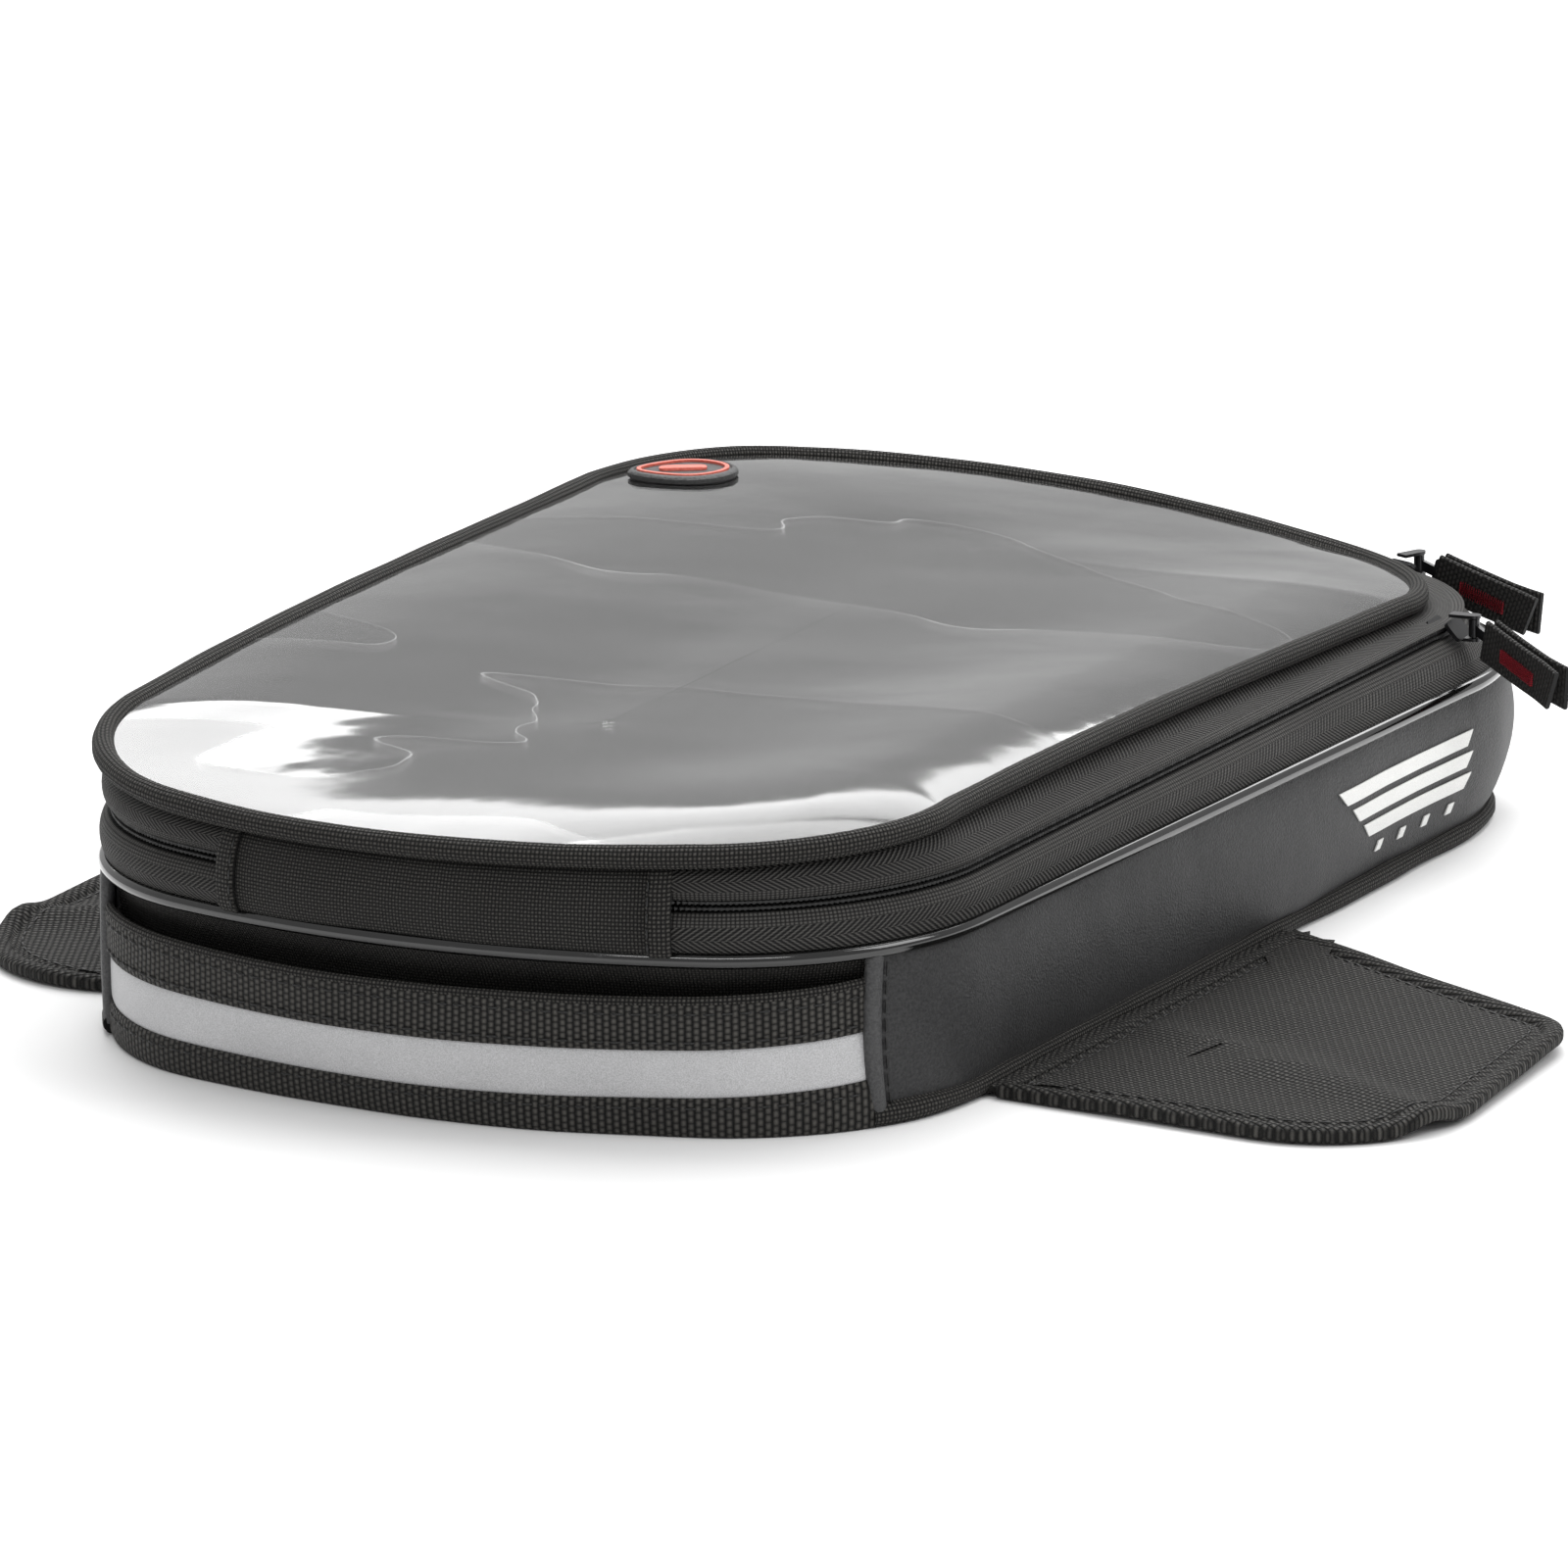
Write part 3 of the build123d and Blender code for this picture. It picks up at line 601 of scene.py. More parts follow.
def make_tricot(name):
    """Ribbed knit under the window, its colour following rib height as painted highlight and painted shade,
    darker where the film touches it.
    """
    m = Nodes(name)
    u, v = m.uv(math.radians(-24))
    drift = m.mul(m.minus(m.noise(14.0, 2.0), 0.5), 0.004)
    rib = m.sine(m.mul(m.plus(u, drift), TAU / 0.00115))
    loops = m.sine(m.mul(v, TAU / 0.0016))
    h = m.mad(rib, 0.4, m.mad(loops, 0.1, 0.5))
    mask, _ = contact_mask(m)
    fuzz = m.noise(1800.0, 2.0)
    # tone follows rib height: painted highlight on the ribs, painted shade between them
    tone = m.mul(h, m.mad(fuzz, 0.4, 0.8))
    tone = m.mul(tone, m.ramp(mask, 0, 1, 1.0, 0.75), clamp=True)
    m.surface(m.mix(tone, (0.006, 0.006, 0.0065), (0.085, 0.085, 0.088)), 0.7, m.bump(h, 0.0003),
              Sheen_Weight=0.05, Sheen_Roughness=0.4, Specular_IOR_Level=0.25)
    return m.mat


# The first near-black below is the yarn's own black and also painted shade in the gaps between yarns; DEEP
# does the same for the flap cloth and is the coil's own black.
BLACK_AND_GAP_SHADE, DEEP = (0.0012,) * 3, (0.0015,) * 3
BALLISTIC = make_weave("ballistic", BLACK_AND_GAP_SHADE, (0.060, 0.057, 0.052), pitch=0.00085)
BEAD_CLOTH = make_weave("bead_cloth", BLACK_AND_GAP_SHADE, (0.072, 0.068, 0.062), pitch=0.00100, depth=0.0005)
FLAP_CLOTH = make_weave("flap_cloth", DEEP, (0.060, 0.057, 0.052), pitch=0.00125, depth=0.0006,
                        turn=0.35, stretch=1.25)
BASE_CLOTH = make_weave("base_cloth", (0.003,) * 3, (0.035,) * 3, pitch=0.0010)
LINING = make_weave("lining", (0.03, 0.03, 0.032), (0.11, 0.11, 0.115), pitch=0.0004, depth=0.0001, rough=0.5)
WEBBING = make_webbing("webbing", BLACK_AND_GAP_SHADE, (0.074, 0.070, 0.064), rib=0.0017, row=0.0015, depth=0.0006)
PULL_WEB = make_webbing("pull_webbing", BLACK_AND_GAP_SHADE, (0.035, 0.033, 0.031), rib=0.0012, row=0.0014)
TAPE = make_tape("zip_tape")
SIDE = make_grain("side_cloth", (0.006, 0.006, 0.0065), (0.044, 0.044, 0.045), rough=0.5, spec=0.3)
TRIM = make_grain("trim_cloth", (0.022, 0.022, 0.023), (0.075, 0.075, 0.076), rough=0.46, spec=0.35)
GLOSS = make_gloss("gloss_bead", (0.002,) * 3, 0.10, coat=0.7)
COIL = make_gloss("zip_coil", DEEP, 0.45, coat=0.0)
METAL = make_gloss("zip_metal", (0.03, 0.03, 0.032), 0.32, coat=0.3, metallic=0.85)
STRIP = make_reflective("reflective", (0.30, 0.30, 0.305), (0.60, 0.60, 0.61))
PRINT = make_reflective("print", (0.58, 0.58, 0.57), (0.82, 0.82, 0.80), metallic=0.0)
FILM = make_film("clear_window")
TRICOT = make_tricot("tricot")
RUBBER = make_grain("badge_rubber", (0.010,) * 3, (0.03,) * 3, rough=0.45, size=0.0008)
CORAL = make_grain("badge_coral", (0.62, 0.10, 0.07), (0.80, 0.20, 0.14), rough=0.42, size=0.0008)
RED = make_webbing("red_thread", (0.10, 0.004, 0.008), (0.42, 0.02, 0.035), rib=0.0005, row=0.0006,
                   depth=0.0002)
THREAD = make_gloss("black_thread", (0.006,) * 3, 0.5, coat=0.0)
FOAM = make_grain("foam", (0.05, 0.05, 0.052), (0.09, 0.09, 0.092), rough=0.85, size=0.0012)
BOARD = make_grain("board", (0.03,) * 3, (0.06,) * 3, rough=0.6, size=0.001)

INNER = {
    FOAM: ("wall_padding_right", "wall_padding_left", "front_padding", "lid_foam", "flap_right_pad",
           "flap_left_pad"),
    BOARD: ("base_stiffener",),
    METAL: ("flap_right_magnets", "flap_left_magnets", "slider_far", "slider_corner", "pull_tab_far",
            "pull_tab_corner"),
}
for material, node in ((material, node) for material, names in INNER.items() for node in names):
    data = frame["nodes"][node].data
    data.materials.clear()
    data.materials.append(material)


# ---- side walls
WALL_LOW, WALL_HIGH = 0.0044, 0.0398
WALL_SHARES = np.linspace(0, 1, 15)


def wall_rows(c, extra=0.0):
    """(out, z) rows of the side wall's outer face, bulging between its bottom seam and the piping."""
    corner = np.exp(-((c.t - 3.5) / 0.55) ** 2) + np.exp(-((c.t - 6.5) / 0.55) ** 2)
    bulge = 0.0022 + 0.0028 * corner + 0.0006 * np.sin(c.s * 47.0)
    near_trim = np.clip(np.minimum(c.s - S_TRIM, LENGTH - S_TRIM - c.s) / 0.03, 0, 1)
    bulge = bulge * (0.35 + 0.65 * near_trim)
    crease = np.exp(-((c.t - 3.75) / 0.16) ** 2) + 0.7 * np.exp(-((c.t - 3.30) / 0.12) ** 2)
    crease = crease + np.exp(-((c.t - 6.3) / 0.14) ** 2)
    rows = []
    for q in WALL_SHARES:
        z = WALL_LOW + (WALL_HIGH - WALL_LOW) * q
        out = -(base_in(c) * (1 - q) + 0.0006 * q) + bulge * math.sin(math.pi * q) ** 0.75
        out = out - 0.0011 * crease * math.sin(math.pi * q) ** 2 + extra
        out = out + lumpy(c.at(out, z), 0.0007, 0.045, 3.0)
        out = out + lumpy(c.at(out, z), 0.00022, 0.014, 9.0)
        rows.append((out, z))
    return rows


def wall_point(c, q, lift):
    """Points on the wall's outer face at height share q, lifted off it."""
    outs = np.array([o for o, _ in wall_rows(c, lift)])
    out = [np.interp(q, WALL_SHARES, outs[:, i]) for i in range(c.size)]
    return c.at(out, WALL_LOW + (WALL_HIGH - WALL_LOW) * q)


for word, lo, hi in (("right", S_TRIM, LENGTH / 2 - 0.0001), ("left", LENGTH / 2 + 0.0001, LENGTH - S_TRIM)):
    c = Cols(lo, hi)
    shell(f"wall_{word}", c, wall_rows(c), SIDE, thick=0.0012, **on(BAG, "side_cloth", f"side_wall_{word}"))
    lining = [(-(base_in(c) + 0.0046 + 0.001 * math.sin(math.pi * q)), 0.0052 + 0.0335 * q)
              for q in np.linspace(0, 1, 8)]
    shell(f"lining_{word}", c, lining, LINING, thick=0.0005, **on(BAG, "lining_cloth"))

# ---- reflective side marks
def mark_piece(word, sign):
    """Tapered bars and dots lying on the side wall."""
    verts, faces = [], []

    def station(y):
        s = s_where(2, y, 5)
        return s if sign > 0 else LENGTH - s

    def patch(y0, y1, q0, q1, lean0, lean1, n=26):
        for lift in (0.00045, 0.0001):
            base = len(verts)
            for q, shift in ((q0, 0.0), ((q0 + q1) / 2, 0.5), (q1, 1.0)):
                ys = np.linspace(y0 + lean0 * shift, y1 + lean1 * shift, n)
                verts.extend(map(tuple, wall_point(Cols(s=[station(y) for y in ys]), q, lift)))
            for r in range(2):
                for k in range(n - 1):
                    a, b = base + r * n + k, base + (r + 1) * n + k
                    quad = (a, a + 1, b + 1, b)
                    faces.append(quad if (lift > 0.0002) == (sign > 0) else quad[::-1])
            top = base
        front = top - 3 * n
        ring = list(range(n)) + [n + n - 1] + list(range(3 * n - 1, 2 * n - 1, -1)) + [n]
        for k in range(len(ring)):
            a, b = ring[k], ring[(k + 1) % len(ring)]
            quad = (front + b, front + a, top + a, top + b)
            faces.append(quad if sign > 0 else quad[::-1])

    for row in range(3):
        q0 = 0.32 + 0.155 * row
        patch(0.055 - 0.007 * row, 0.107, q0, q0 + 0.105, -0.004, 0.003)
    for k in range(4):
        patch(0.0605 + 0.013 * k, 0.0635 + 0.013 * k, 0.17, 0.245, 0.001, 0.001, n=4)
    mesh = bpy.data.meshes.new(f"mark_{word}")
    mesh.from_pydata(verts, [], faces)
    link(f"mark_{word}", mesh, PRINT, **on(BAG, "print", f"side_mark_{word}"))


mark_piece("right", 1)
mark_piece("left", -1)

# ---- base and bottom binding
ring = Cols(step=0.0030, closed=True)


def to_spine(c, edge, rings, profile):
    """Rows that shrink from an edge line to the middle line of the bag, heights from profile(share)."""
    spine = np.column_stack([np.zeros(c.size), np.clip(edge[:, 1], -0.105, 0.095)])
    rows = []
    for q in rings:
        xy = edge[:, :2] * (1 - q) + spine * q
        rows.append(np.column_stack([xy, profile(q, xy)]))
    return rows


def sheet(name, under, over, mat, **tie):
    """A closed sheet from the rows of its lower and upper faces, with UVs flat from above."""
    points = np.array(under + over)
    flat = np.concatenate([points, points[:, :1]], 1)
    weld(grid(name, points, mat, u=flat[..., 0], v=flat[..., 1], wrap_cols=True, **tie))


def plate(name, c, out, z0, z1, mat, rings=(0, 0.02, 0.25, 0.6, 1.0), **tie):
    """A flat closed sheet filling the outline."""
    edge = c.at(out, 0.0)
    under = to_spine(c, edge, rings[::-1], lambda q, xy: np.full(len(xy), z0))
    over = to_spine(c, edge, rings, lambda q, xy: np.full(len(xy), z1))
    sheet(name, under, over, mat, **tie)


def weld(obj):
    bm = bmesh.new()
    bm.from_mesh(obj.data)
    bmesh.ops.remove_doubles(bm, verts=bm.verts, dist=1e-6)
    bmesh.ops.dissolve_degenerate(bm, edges=bm.edges, dist=1e-6)
    bmesh.ops.recalc_face_normals(bm, faces=bm.faces)
    bm.to_mesh(obj.data)
    bm.free()
    obj.data.polygons.foreach_set("use_smooth", [True] * len(obj.data.polygons))
    obj.data.set_sharp_from_angle(angle=math.radians(40))


plate("base_cloth", ring, -(base_in(ring) + 0.0015), 0.0002, 0.0026, BASE_CLOTH,
      **on(BAG, "ballistic_nylon", "base_panel"))
plate("floor_lining", ring, -(base_in(ring) + 0.0065 + 0.008 * (1 - ring.b)), 0.0046, 0.0052, LINING,
      **on(BAG, "lining_cloth"))

c = Cols(S_TRIM - 0.001, LENGTH - S_TRIM + 0.001, step=0.0020)
wave = 1 + 0.10 * np.sin(c.s * 150) * np.sin(c.s * 37)
bead("bottom_binding", c, -base_in(c) + 0.0003 * np.sin(c.s * 61), 0.0026, BINDING_R * wave, BEAD_CLOTH,
     **on(BAG, "ballistic_nylon", "base_binding"))

# ---- front wall, pocket and its bands
c = Cols(-S_TRIM, S_TRIM)
edge_fade = np.clip((S_TRIM - np.abs(c.s)) / 0.03, 0, 1) ** 0.5
rows = []
for q in np.linspace(0, 1, 12):
    z = 0.0045 + 0.0355 * q
    deep = 0.0085 * (1 - max(0.0, (q - 0.55) / 0.45) ** 2) * (0.25 + 0.75 * edge_fade) + 0.0012
    deep = deep + lumpy(c.at(-deep, z), 0.0012, 0.035, 5.0)
    rows.append((-deep, z))
shell("front_wall_cloth", c, rows, BALLISTIC, **on(BAG, "ballistic_nylon", "front_wall"))
lining = [(-(0.0152 - 0.001 * q), 0.0052 + 0.0335 * q) for q in np.linspace(0, 1, 6)]
shell("lining_front", Cols(-S_TRIM, S_TRIM), lining, LINING, thick=0.0005, **on(BAG, "lining_cloth"))


def pocket_out(c, z):
    """Outward place of the pocket's cloth: it bows a little and its mouth stands open in the middle."""
    share = np.clip(1 - (c.s / S_TRIM) ** 2, 0, 1)
    q = z / 0.033
    out = 0.0009 * share * math.sin(math.pi * q) - 0.0012 * (1 - share) ** 3 * q
    return out + 0.00035 * np.sin(c.s * 70 + 3 * q) + lumpy(c.at(0.0, z), 0.0006, 0.03, 11.0)


def pocket_dip(c):
    """The mouth sags in the middle of the front."""
    return -0.0036 * np.clip(1 - ((c.s + 0.022) / (S_TRIM + 0.022)) ** 2, 0, 1) ** 0.8


def band(name, z0, z1, lift, mat, slot, node, thick=0.0012, roll=0.0):
    c = Cols(-S_TRIM + 0.0005, S_TRIM - 0.0005, step=0.0018)
    rows = []
    for q in np.linspace(0, 1, 9):
        z = z0 + (z1 - z0) * q
        round_off = 0.0005 * (abs(2 * q - 1) ** 6)
        out = pocket_out(c, z) + lift - round_off + roll * max(0.0, (q - 0.72) / 0.28) ** 0.5
        rows.append((out, z + pocket_dip(c) * min(1.0, z / 0.011)))
    shell(name, c, rows, mat, thick=thick, **on(BAG, slot, node))


band("pocket_cloth", 0.0004, 0.0328, 0.0, BALLISTIC, "ballistic_nylon", "pocket_panel", thick=0.0014)
band("webbing_lower", 0.0003, 0.0115, 0.0015, WEBBING, "webbing", "pocket_webbing_lower")
band("reflective_band", 0.0108, 0.0232, 0.0009, STRIP, "reflective", "reflective_strip", thick=0.0006)
band("webbing_upper", 0.0228, 0.0338, 0.0016, WEBBING, "webbing", "pocket_webbing_upper", roll=0.0005)

c = Cols(-S_TRIM + 0.004, S_TRIM - 0.002, step=0.0015)
top = c.at(pocket_out(c, 0.0335) + 0.0008, 0.0339 + pocket_dip(c))
tube("pocket_roll", top, c.outwards(), UP, 0.0012, BEAD_CLOTH, wrap=False, sides=8, caps=True, u=c.u,
     **on(BAG, "webbing"))

for name, z, lift in (("stitch_lower", 0.0088, 0.0016), ("stitch_upper", 0.0247, 0.0018),
                      ("stitch_top", 0.0312, 0.0019)):
    path = c.at(pocket_out(c, z) + lift, z + pocket_dip(c) * min(1.0, z / 0.011))
    stitches(name, path, c.outwards(), THREAD, body=BAG)

# ---- rolled trims at the pocket's ends
for word, sign in (("right", 1), ("left", -1)):
    s = S_TRIM if sign > 0 else LENGTH - S_TRIM
    q = np.linspace(0, 1, 26)
    c = Cols(s, s + 1e-4, 1e-4)
    ends = wall_rows(c)
    outs = np.interp(q, WALL_SHARES, [float(o[0]) for o, _ in ends])
    z = 0.0030 + 0.0368 * q
    along = np.array([-c.n[0, 1], c.n[0, 0]]) * sign
    drift = 0.0022 * np.sin(math.pi * q) - 0.0010
    base = c.p[0] + c.n[0] * (outs[:, None] + 0.0006) - along * drift[:, None] * 0.6
    path = np.column_stack([base, z])
    t = frames_along(path)
    side = np.tile([*c.n[0], 0.0], (len(q), 1))
    up = np.cross(side, t)
    tube(f"trim_{word}", path, side * 0.85, up * 1.05, 0.0021, TRIM, wrap=False, sides=12, caps=True,
         **on(BAG, "side_cloth", f"wall_trim_{word}"))
    seam = path + np.array([*along, 0.0]) * 0.0034 - side * 0.0002
    stitches(f"trim_stitch_{word}", seam[::-1], side, THREAD, length=0.0032, pitch=0.0043, radius=0.0003,
             lift=0.0003, body=BAG)

# ---- glossy piping
bead("piping_gloss", Cols(step=0.0022, closed=True), 0.0002, PIPE_Z, 0.00185, GLOSS, sides=14,
     **on(BAG, "gloss_bead", "gloss_piping"))
c = Cols(step=0.0030, closed=True)
shell("piping_flange", c, [(-0.0012, 0.0392), (-0.0008, 0.0412), (-0.0010, 0.0432)], BALLISTIC, thick=0.0009,
      **on(BAG, "ballistic_nylon"))


# ---- zip tapes, teeth and the hinge gusset
def gusset_out(c, q, upper):
    """Outward place on the zip gusset. q runs 0 at the tape's sewn edge to 1 at the zip line."""
    if upper:
        start, z_start = -(rim_in(c) + 0.0026), rim_z(c) - 0.0026
    else:
        start, z_start = -0.0004, np.full(c.size, PIPE_Z + 0.0010)
    end, z_end = -zip_in(c) - 0.0002, zip_z(c) + (0.0014 if upper else -0.0014)
    out = start + (end - start) * q
    z = z_start + (z_end - z_start) * q
    puff = 0.0011 + 0.0013 * (1 - c.b) + 0.0004 * np.sin(c.s * 53)
    return out + puff * max(0.0, math.sin(math.pi * min(1.0, q))) ** 0.6, z


def tape(name, upper, node, body):
    c = Cols(S_GUSSET - 0.002, LENGTH - S_GUSSET_L + 0.002, step=0.0022)
    share = np.concatenate([[0, 0.02, 0.05, 0.1], np.linspace(0.18, 1, 10)])
    rows, heights = [], []
    for q in share:
        out, z = gusset_out(c, q, upper)
        out = out + lumpy(c.at(out, z), 0.0005, 0.03, 21.0) * math.sin(math.pi * q)
        rows.append((out, z))
        heights.append(np.full(c.size, (1 - q)) * (0.0125 if upper else 0.0120))
    if upper:
        rows, heights = rows[::-1], heights[::-1]
    v = np.array(heights + heights[::-1] + [heights[0]])
    outer = [c.at(o, z) for o, z in rows]
    inner = [c.at(np.asarray(o) - 0.0009, z) for o, z in rows[::-1]]
    points = np.array(outer + inner)
    u = np.broadcast_to(c.u[None, :], v.shape)
    return grid(name, points, TAPE, u=u, v=v, wrap_rows=True, caps=False, **on(body, "zip_tape", node))


tape("tape_lower", False, "zip_tape_lower", BAG)
tape("tape_upper", True, "zip_tape_upper", LID)

c = Cols(S_GUSSET - 0.002, LENGTH - S_GUSSET_L + 0.002, step=0.00032)
for name, shift, node, body in (("teeth_lower", -0.00070, "zip_coil_lower", BAG),
                                ("teeth_upper", 0.00070, "zip_coil_upper", LID)):
    turn = 0.5 + 0.5 * np.cos(TAU * (c.s / 0.00135 + (0.5 if shift > 0 else 0.0)))
    bead(name, c, -zip_in(c) - 0.0014, zip_z(c) + shift, 0.00042 + 0.00034 * turn, COIL, sides=6,
         **on(body, "zip_coil", node))


def blended(obj):
    obj.parent = None
    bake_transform(obj)


def gusset_rows(c, lift, n=14):
    rows = []
    for q in np.concatenate([[0, 0.03, 0.07], np.linspace(0.14, 0.86, n - 6), [0.93, 0.97, 1.0]]):
        z = 0.0418 + (rim_z(c) - 0.0026 - 0.0418) * q
        out = -0.0004 - (rim_in(c) + 0.0022) * q + 0.0034 * max(0.0, math.sin(math.pi * q)) ** 0.5 + lift
        out = out + lumpy(c.at(out, z), 0.0008, 0.028, 31.0)
        rows.append((out, z))
    return rows


c = Cols(-S_GUSSET_L, S_GUSSET)
blended(shell("gusset_cloth", c, gusset_rows(c, 0.0003), BALLISTIC, thick=0.0010, slot="ballistic_nylon",
              nodes=["hinge_gusset"]))
for word, lo, hi in (("right", S_GUSSET - 0.0050, S_GUSSET + 0.0006),
                     ("left", -S_GUSSET_L - 0.0006, -S_GUSSET_L + 0.0050)):
    c = Cols(lo, hi, step=0.0007)
    dome = 0.0009 * (1 - (2 * (c.s - lo) / (hi - lo) - 1) ** 6)
    blended(shell(f"gusset_hem_{word}", c, [(o + dome, z) for o, z in gusset_rows(c, 0.0010)], BEAD_CLOTH,
                  thick=0.0014, slot="ballistic_nylon", nodes=["gusset_hems"]))
    mid = S_GUSSET - 0.0044 if word == "right" else -S_GUSSET_L + 0.0044
    c = Cols(mid, mid + 1e-4, 1e-4)
    path = np.array([c.at(o, z)[0] for o, z in gusset_rows(c, 0.0020)])
    blended(stitches(f"hem_stitch_{word}", path, np.tile([*c.n[0], 0.0], (len(path), 1)), THREAD,
                     pitch=0.0036, length=0.0026))

# ---- rim bead
c = Cols(step=0.0022, closed=True)
wave = 1 + 0.03 * np.sin(c.s * 130) * np.sin(c.s * 31)
bead("rim_bead", c, -rim_in(c), rim_z(c), 0.00275 * wave, BEAD_CLOTH, sides=14,
     **on(LID, "ballistic_nylon", "lid_rim_piping"))
shell("rim_seam", c, [(-rim_in(c) - 0.0030, rim_z(c) - 0.0046), (-rim_in(c) - 0.0026, rim_z(c) - 0.0032),
                      (-rim_in(c) - 0.0018, rim_z(c) - 0.0014)], BASE_CLOTH, thick=0.0009,
      **on(LID, "ballistic_nylon"))


# ---- window film and the cloth under it
def film_height(q, xy, edge_z, c, lift):
    """Height of the film: it swells from the rim, with long shallow folds."""
    level = 0.0655 - 0.055 * xy[:, 0]
    level = level - 0.0045 * np.clip(-xy[:, 0] / 0.08, 0, 1) * np.clip(-(xy[:, 1] + 0.01) / 0.10, 0, 1)
    reach = np.clip(q / 0.9, 0, 1)
    ease = reach * reach * (3 - 2 * reach)
    z = edge_z * (1 - ease) + (level + 0.0015) * ease
    inward = np.hypot(*(c.p - c.n * rim_in(c)[:, None] - xy).T)
    near = 0.5 - 0.5 * np.clip((xy[:, 1] + 0.02) / 0.16, -1, 1)
    near = near * (1 - 0.75 * np.clip((0.01 - xy[:, 0]) / 0.08, 0, 1))
    z = z + (0.0016 + 0.0052 * near) * (1 - np.exp(-inward / 0.034)) * (1 - 0.5 * ease)
    flank = np.clip((xy[:, 0] - 0.01) / 0.07, 0, 1)
    z = z + 0.0036 * flank * (1 - np.exp(-inward / 0.016)) * (1 - 0.8 * ease)
    fade = 1 - np.exp(-inward / 0.010)
    a, b = xy[:, 0] * 0.87 + xy[:, 1] * 0.5, -xy[:, 0] * 0.5 + xy[:, 1] * 0.87
    folds = np.array([noise.noise(Vector((p / 0.11, r / 0.034, 4.0))) for p, r in zip(a, b)])
    small = np.array([noise.noise(Vector((p / 0.040, r / 0.014, 8.0))) for p, r in zip(a, b)])
    return z + fade * (0.00034 * folds + 0.00007 * small) + lift


def window(name, inset, lift, mat, thick, slot, node):
    c = Cols(step=0.0030, closed=True)
    edge = c.at(-rim_in(c) - inset, 0.0)
    edge_z = rim_z(c) + 0.0008
    rings = np.concatenate([np.linspace(0, 0.12, 9), np.linspace(0.14, 1.0, 44)])
    over = to_spine(c, edge, rings, lambda q, xy: film_height(q, xy, edge_z, c, lift))
    under = [row - np.array([0, 0, thick]) for row in over[::-1]]
    sheet(name, under, over, mat, **on(LID, slot, node))


window("window_film", 0.0012, 0.0, FILM, 0.0004, "clear_window", "map_window")
window("window_knit", 0.0014, -0.0012, TRICOT, 0.0006, "lining_cloth", "lid_backing")
window("lid_underside", 0.0036, -0.0024, LINING, 0.0034, "lining_cloth", "lid_lining")
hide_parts("lid_foam")

# ---- badge
BADGE = Matrix.Translation((-0.0945, 0.1225, 0.0724)) @ Matrix.Rotation(math.radians(28), 4, "Z")


def badge_outline(grow, n=56):
    """Rounded pad, a little narrower at one end."""
    a = np.linspace(0, TAU, n, endpoint=False)
    x, y = 0.0135 * np.cos(a), 0.0105 * np.sin(a)
    y = y * (1.0 + 0.16 * np.cos(a)) * (1 + 0.10 * np.sin(a) ** 2)
    x = x * (1 + 0.05 * np.cos(2 * a))
    d = np.stack([x, y], -1)
    size = np.linalg.norm(d, axis=1)[:, None]
    return d * (size + grow) / size


def on_badge(rows):
    """Rows of points in the badge's own frame, moved to its place."""
    return np.array([[tuple(BADGE @ Vector(p)) for p in row] for row in rows])


def lathe_pad(name, profile, mat, slot, node):
    """Rings of (grow, height) over the badge's outline, closed at the middle."""
    rows = [np.column_stack([badge_outline(g), np.full(56, h)]) for g, h in profile]
    rows.insert(0, rows[0] * np.array([0.02, 0.02, 1]))
    rows.append(rows[-1] * np.array([0.02, 0.02, 1]))
    weld(grid(name, on_badge(rows), mat, wrap_cols=True, **on(LID, slot, node)))


lathe_pad("badge_pad", [
    (-0.0006, -0.0014), (0, -0.0008), (0.0001, 0.0006), (-0.0005, 0.0008), (-0.0005, 0.0012),
    (0.0001, 0.0014), (0.0001, 0.0024), (-0.0006, 0.0031), (-0.0014, 0.0032), (-0.0018, 0.0028),
    (-0.0060, 0.0028)], RUBBER, "badge_rubber", "badge_base")
rows = [np.column_stack([badge_outline(g), np.full(56, h)])
        for g, h in ((-0.0022, 0.0026), (-0.0022, 0.0034), (-0.0033, 0.0034), (-0.0033, 0.0026))]
grid("badge_ring", on_badge(rows), CORAL, wrap_rows=True, wrap_cols=True,
     **on(LID, "badge_coral", "badge_inlay"))
a = np.linspace(0, TAU, 32, endpoint=False)
bar = np.stack([np.sign(np.cos(a)) * 0.0062 * np.abs(np.cos(a)) ** 0.4,
                0.0019 * np.sign(np.sin(a)) * np.abs(np.sin(a)) ** 0.6], -1)
rows = [np.column_stack([bar * k, np.full(32, h)])
        for k, h in ((0.02, 0.0026), (1, 0.0026), (1, 0.0034), (0.94, 0.0036), (0.02, 0.0036))]
weld(grid("badge_bar", on_badge(rows), CORAL, wrap_cols=True, **on(LID, "badge_coral")))

# ---- magnet flaps
FLAP_X, FLAP_N = 0.1210139, (0.9982, -0.06006)
FRONT_Y, FAR_Y = -0.139, 0.012


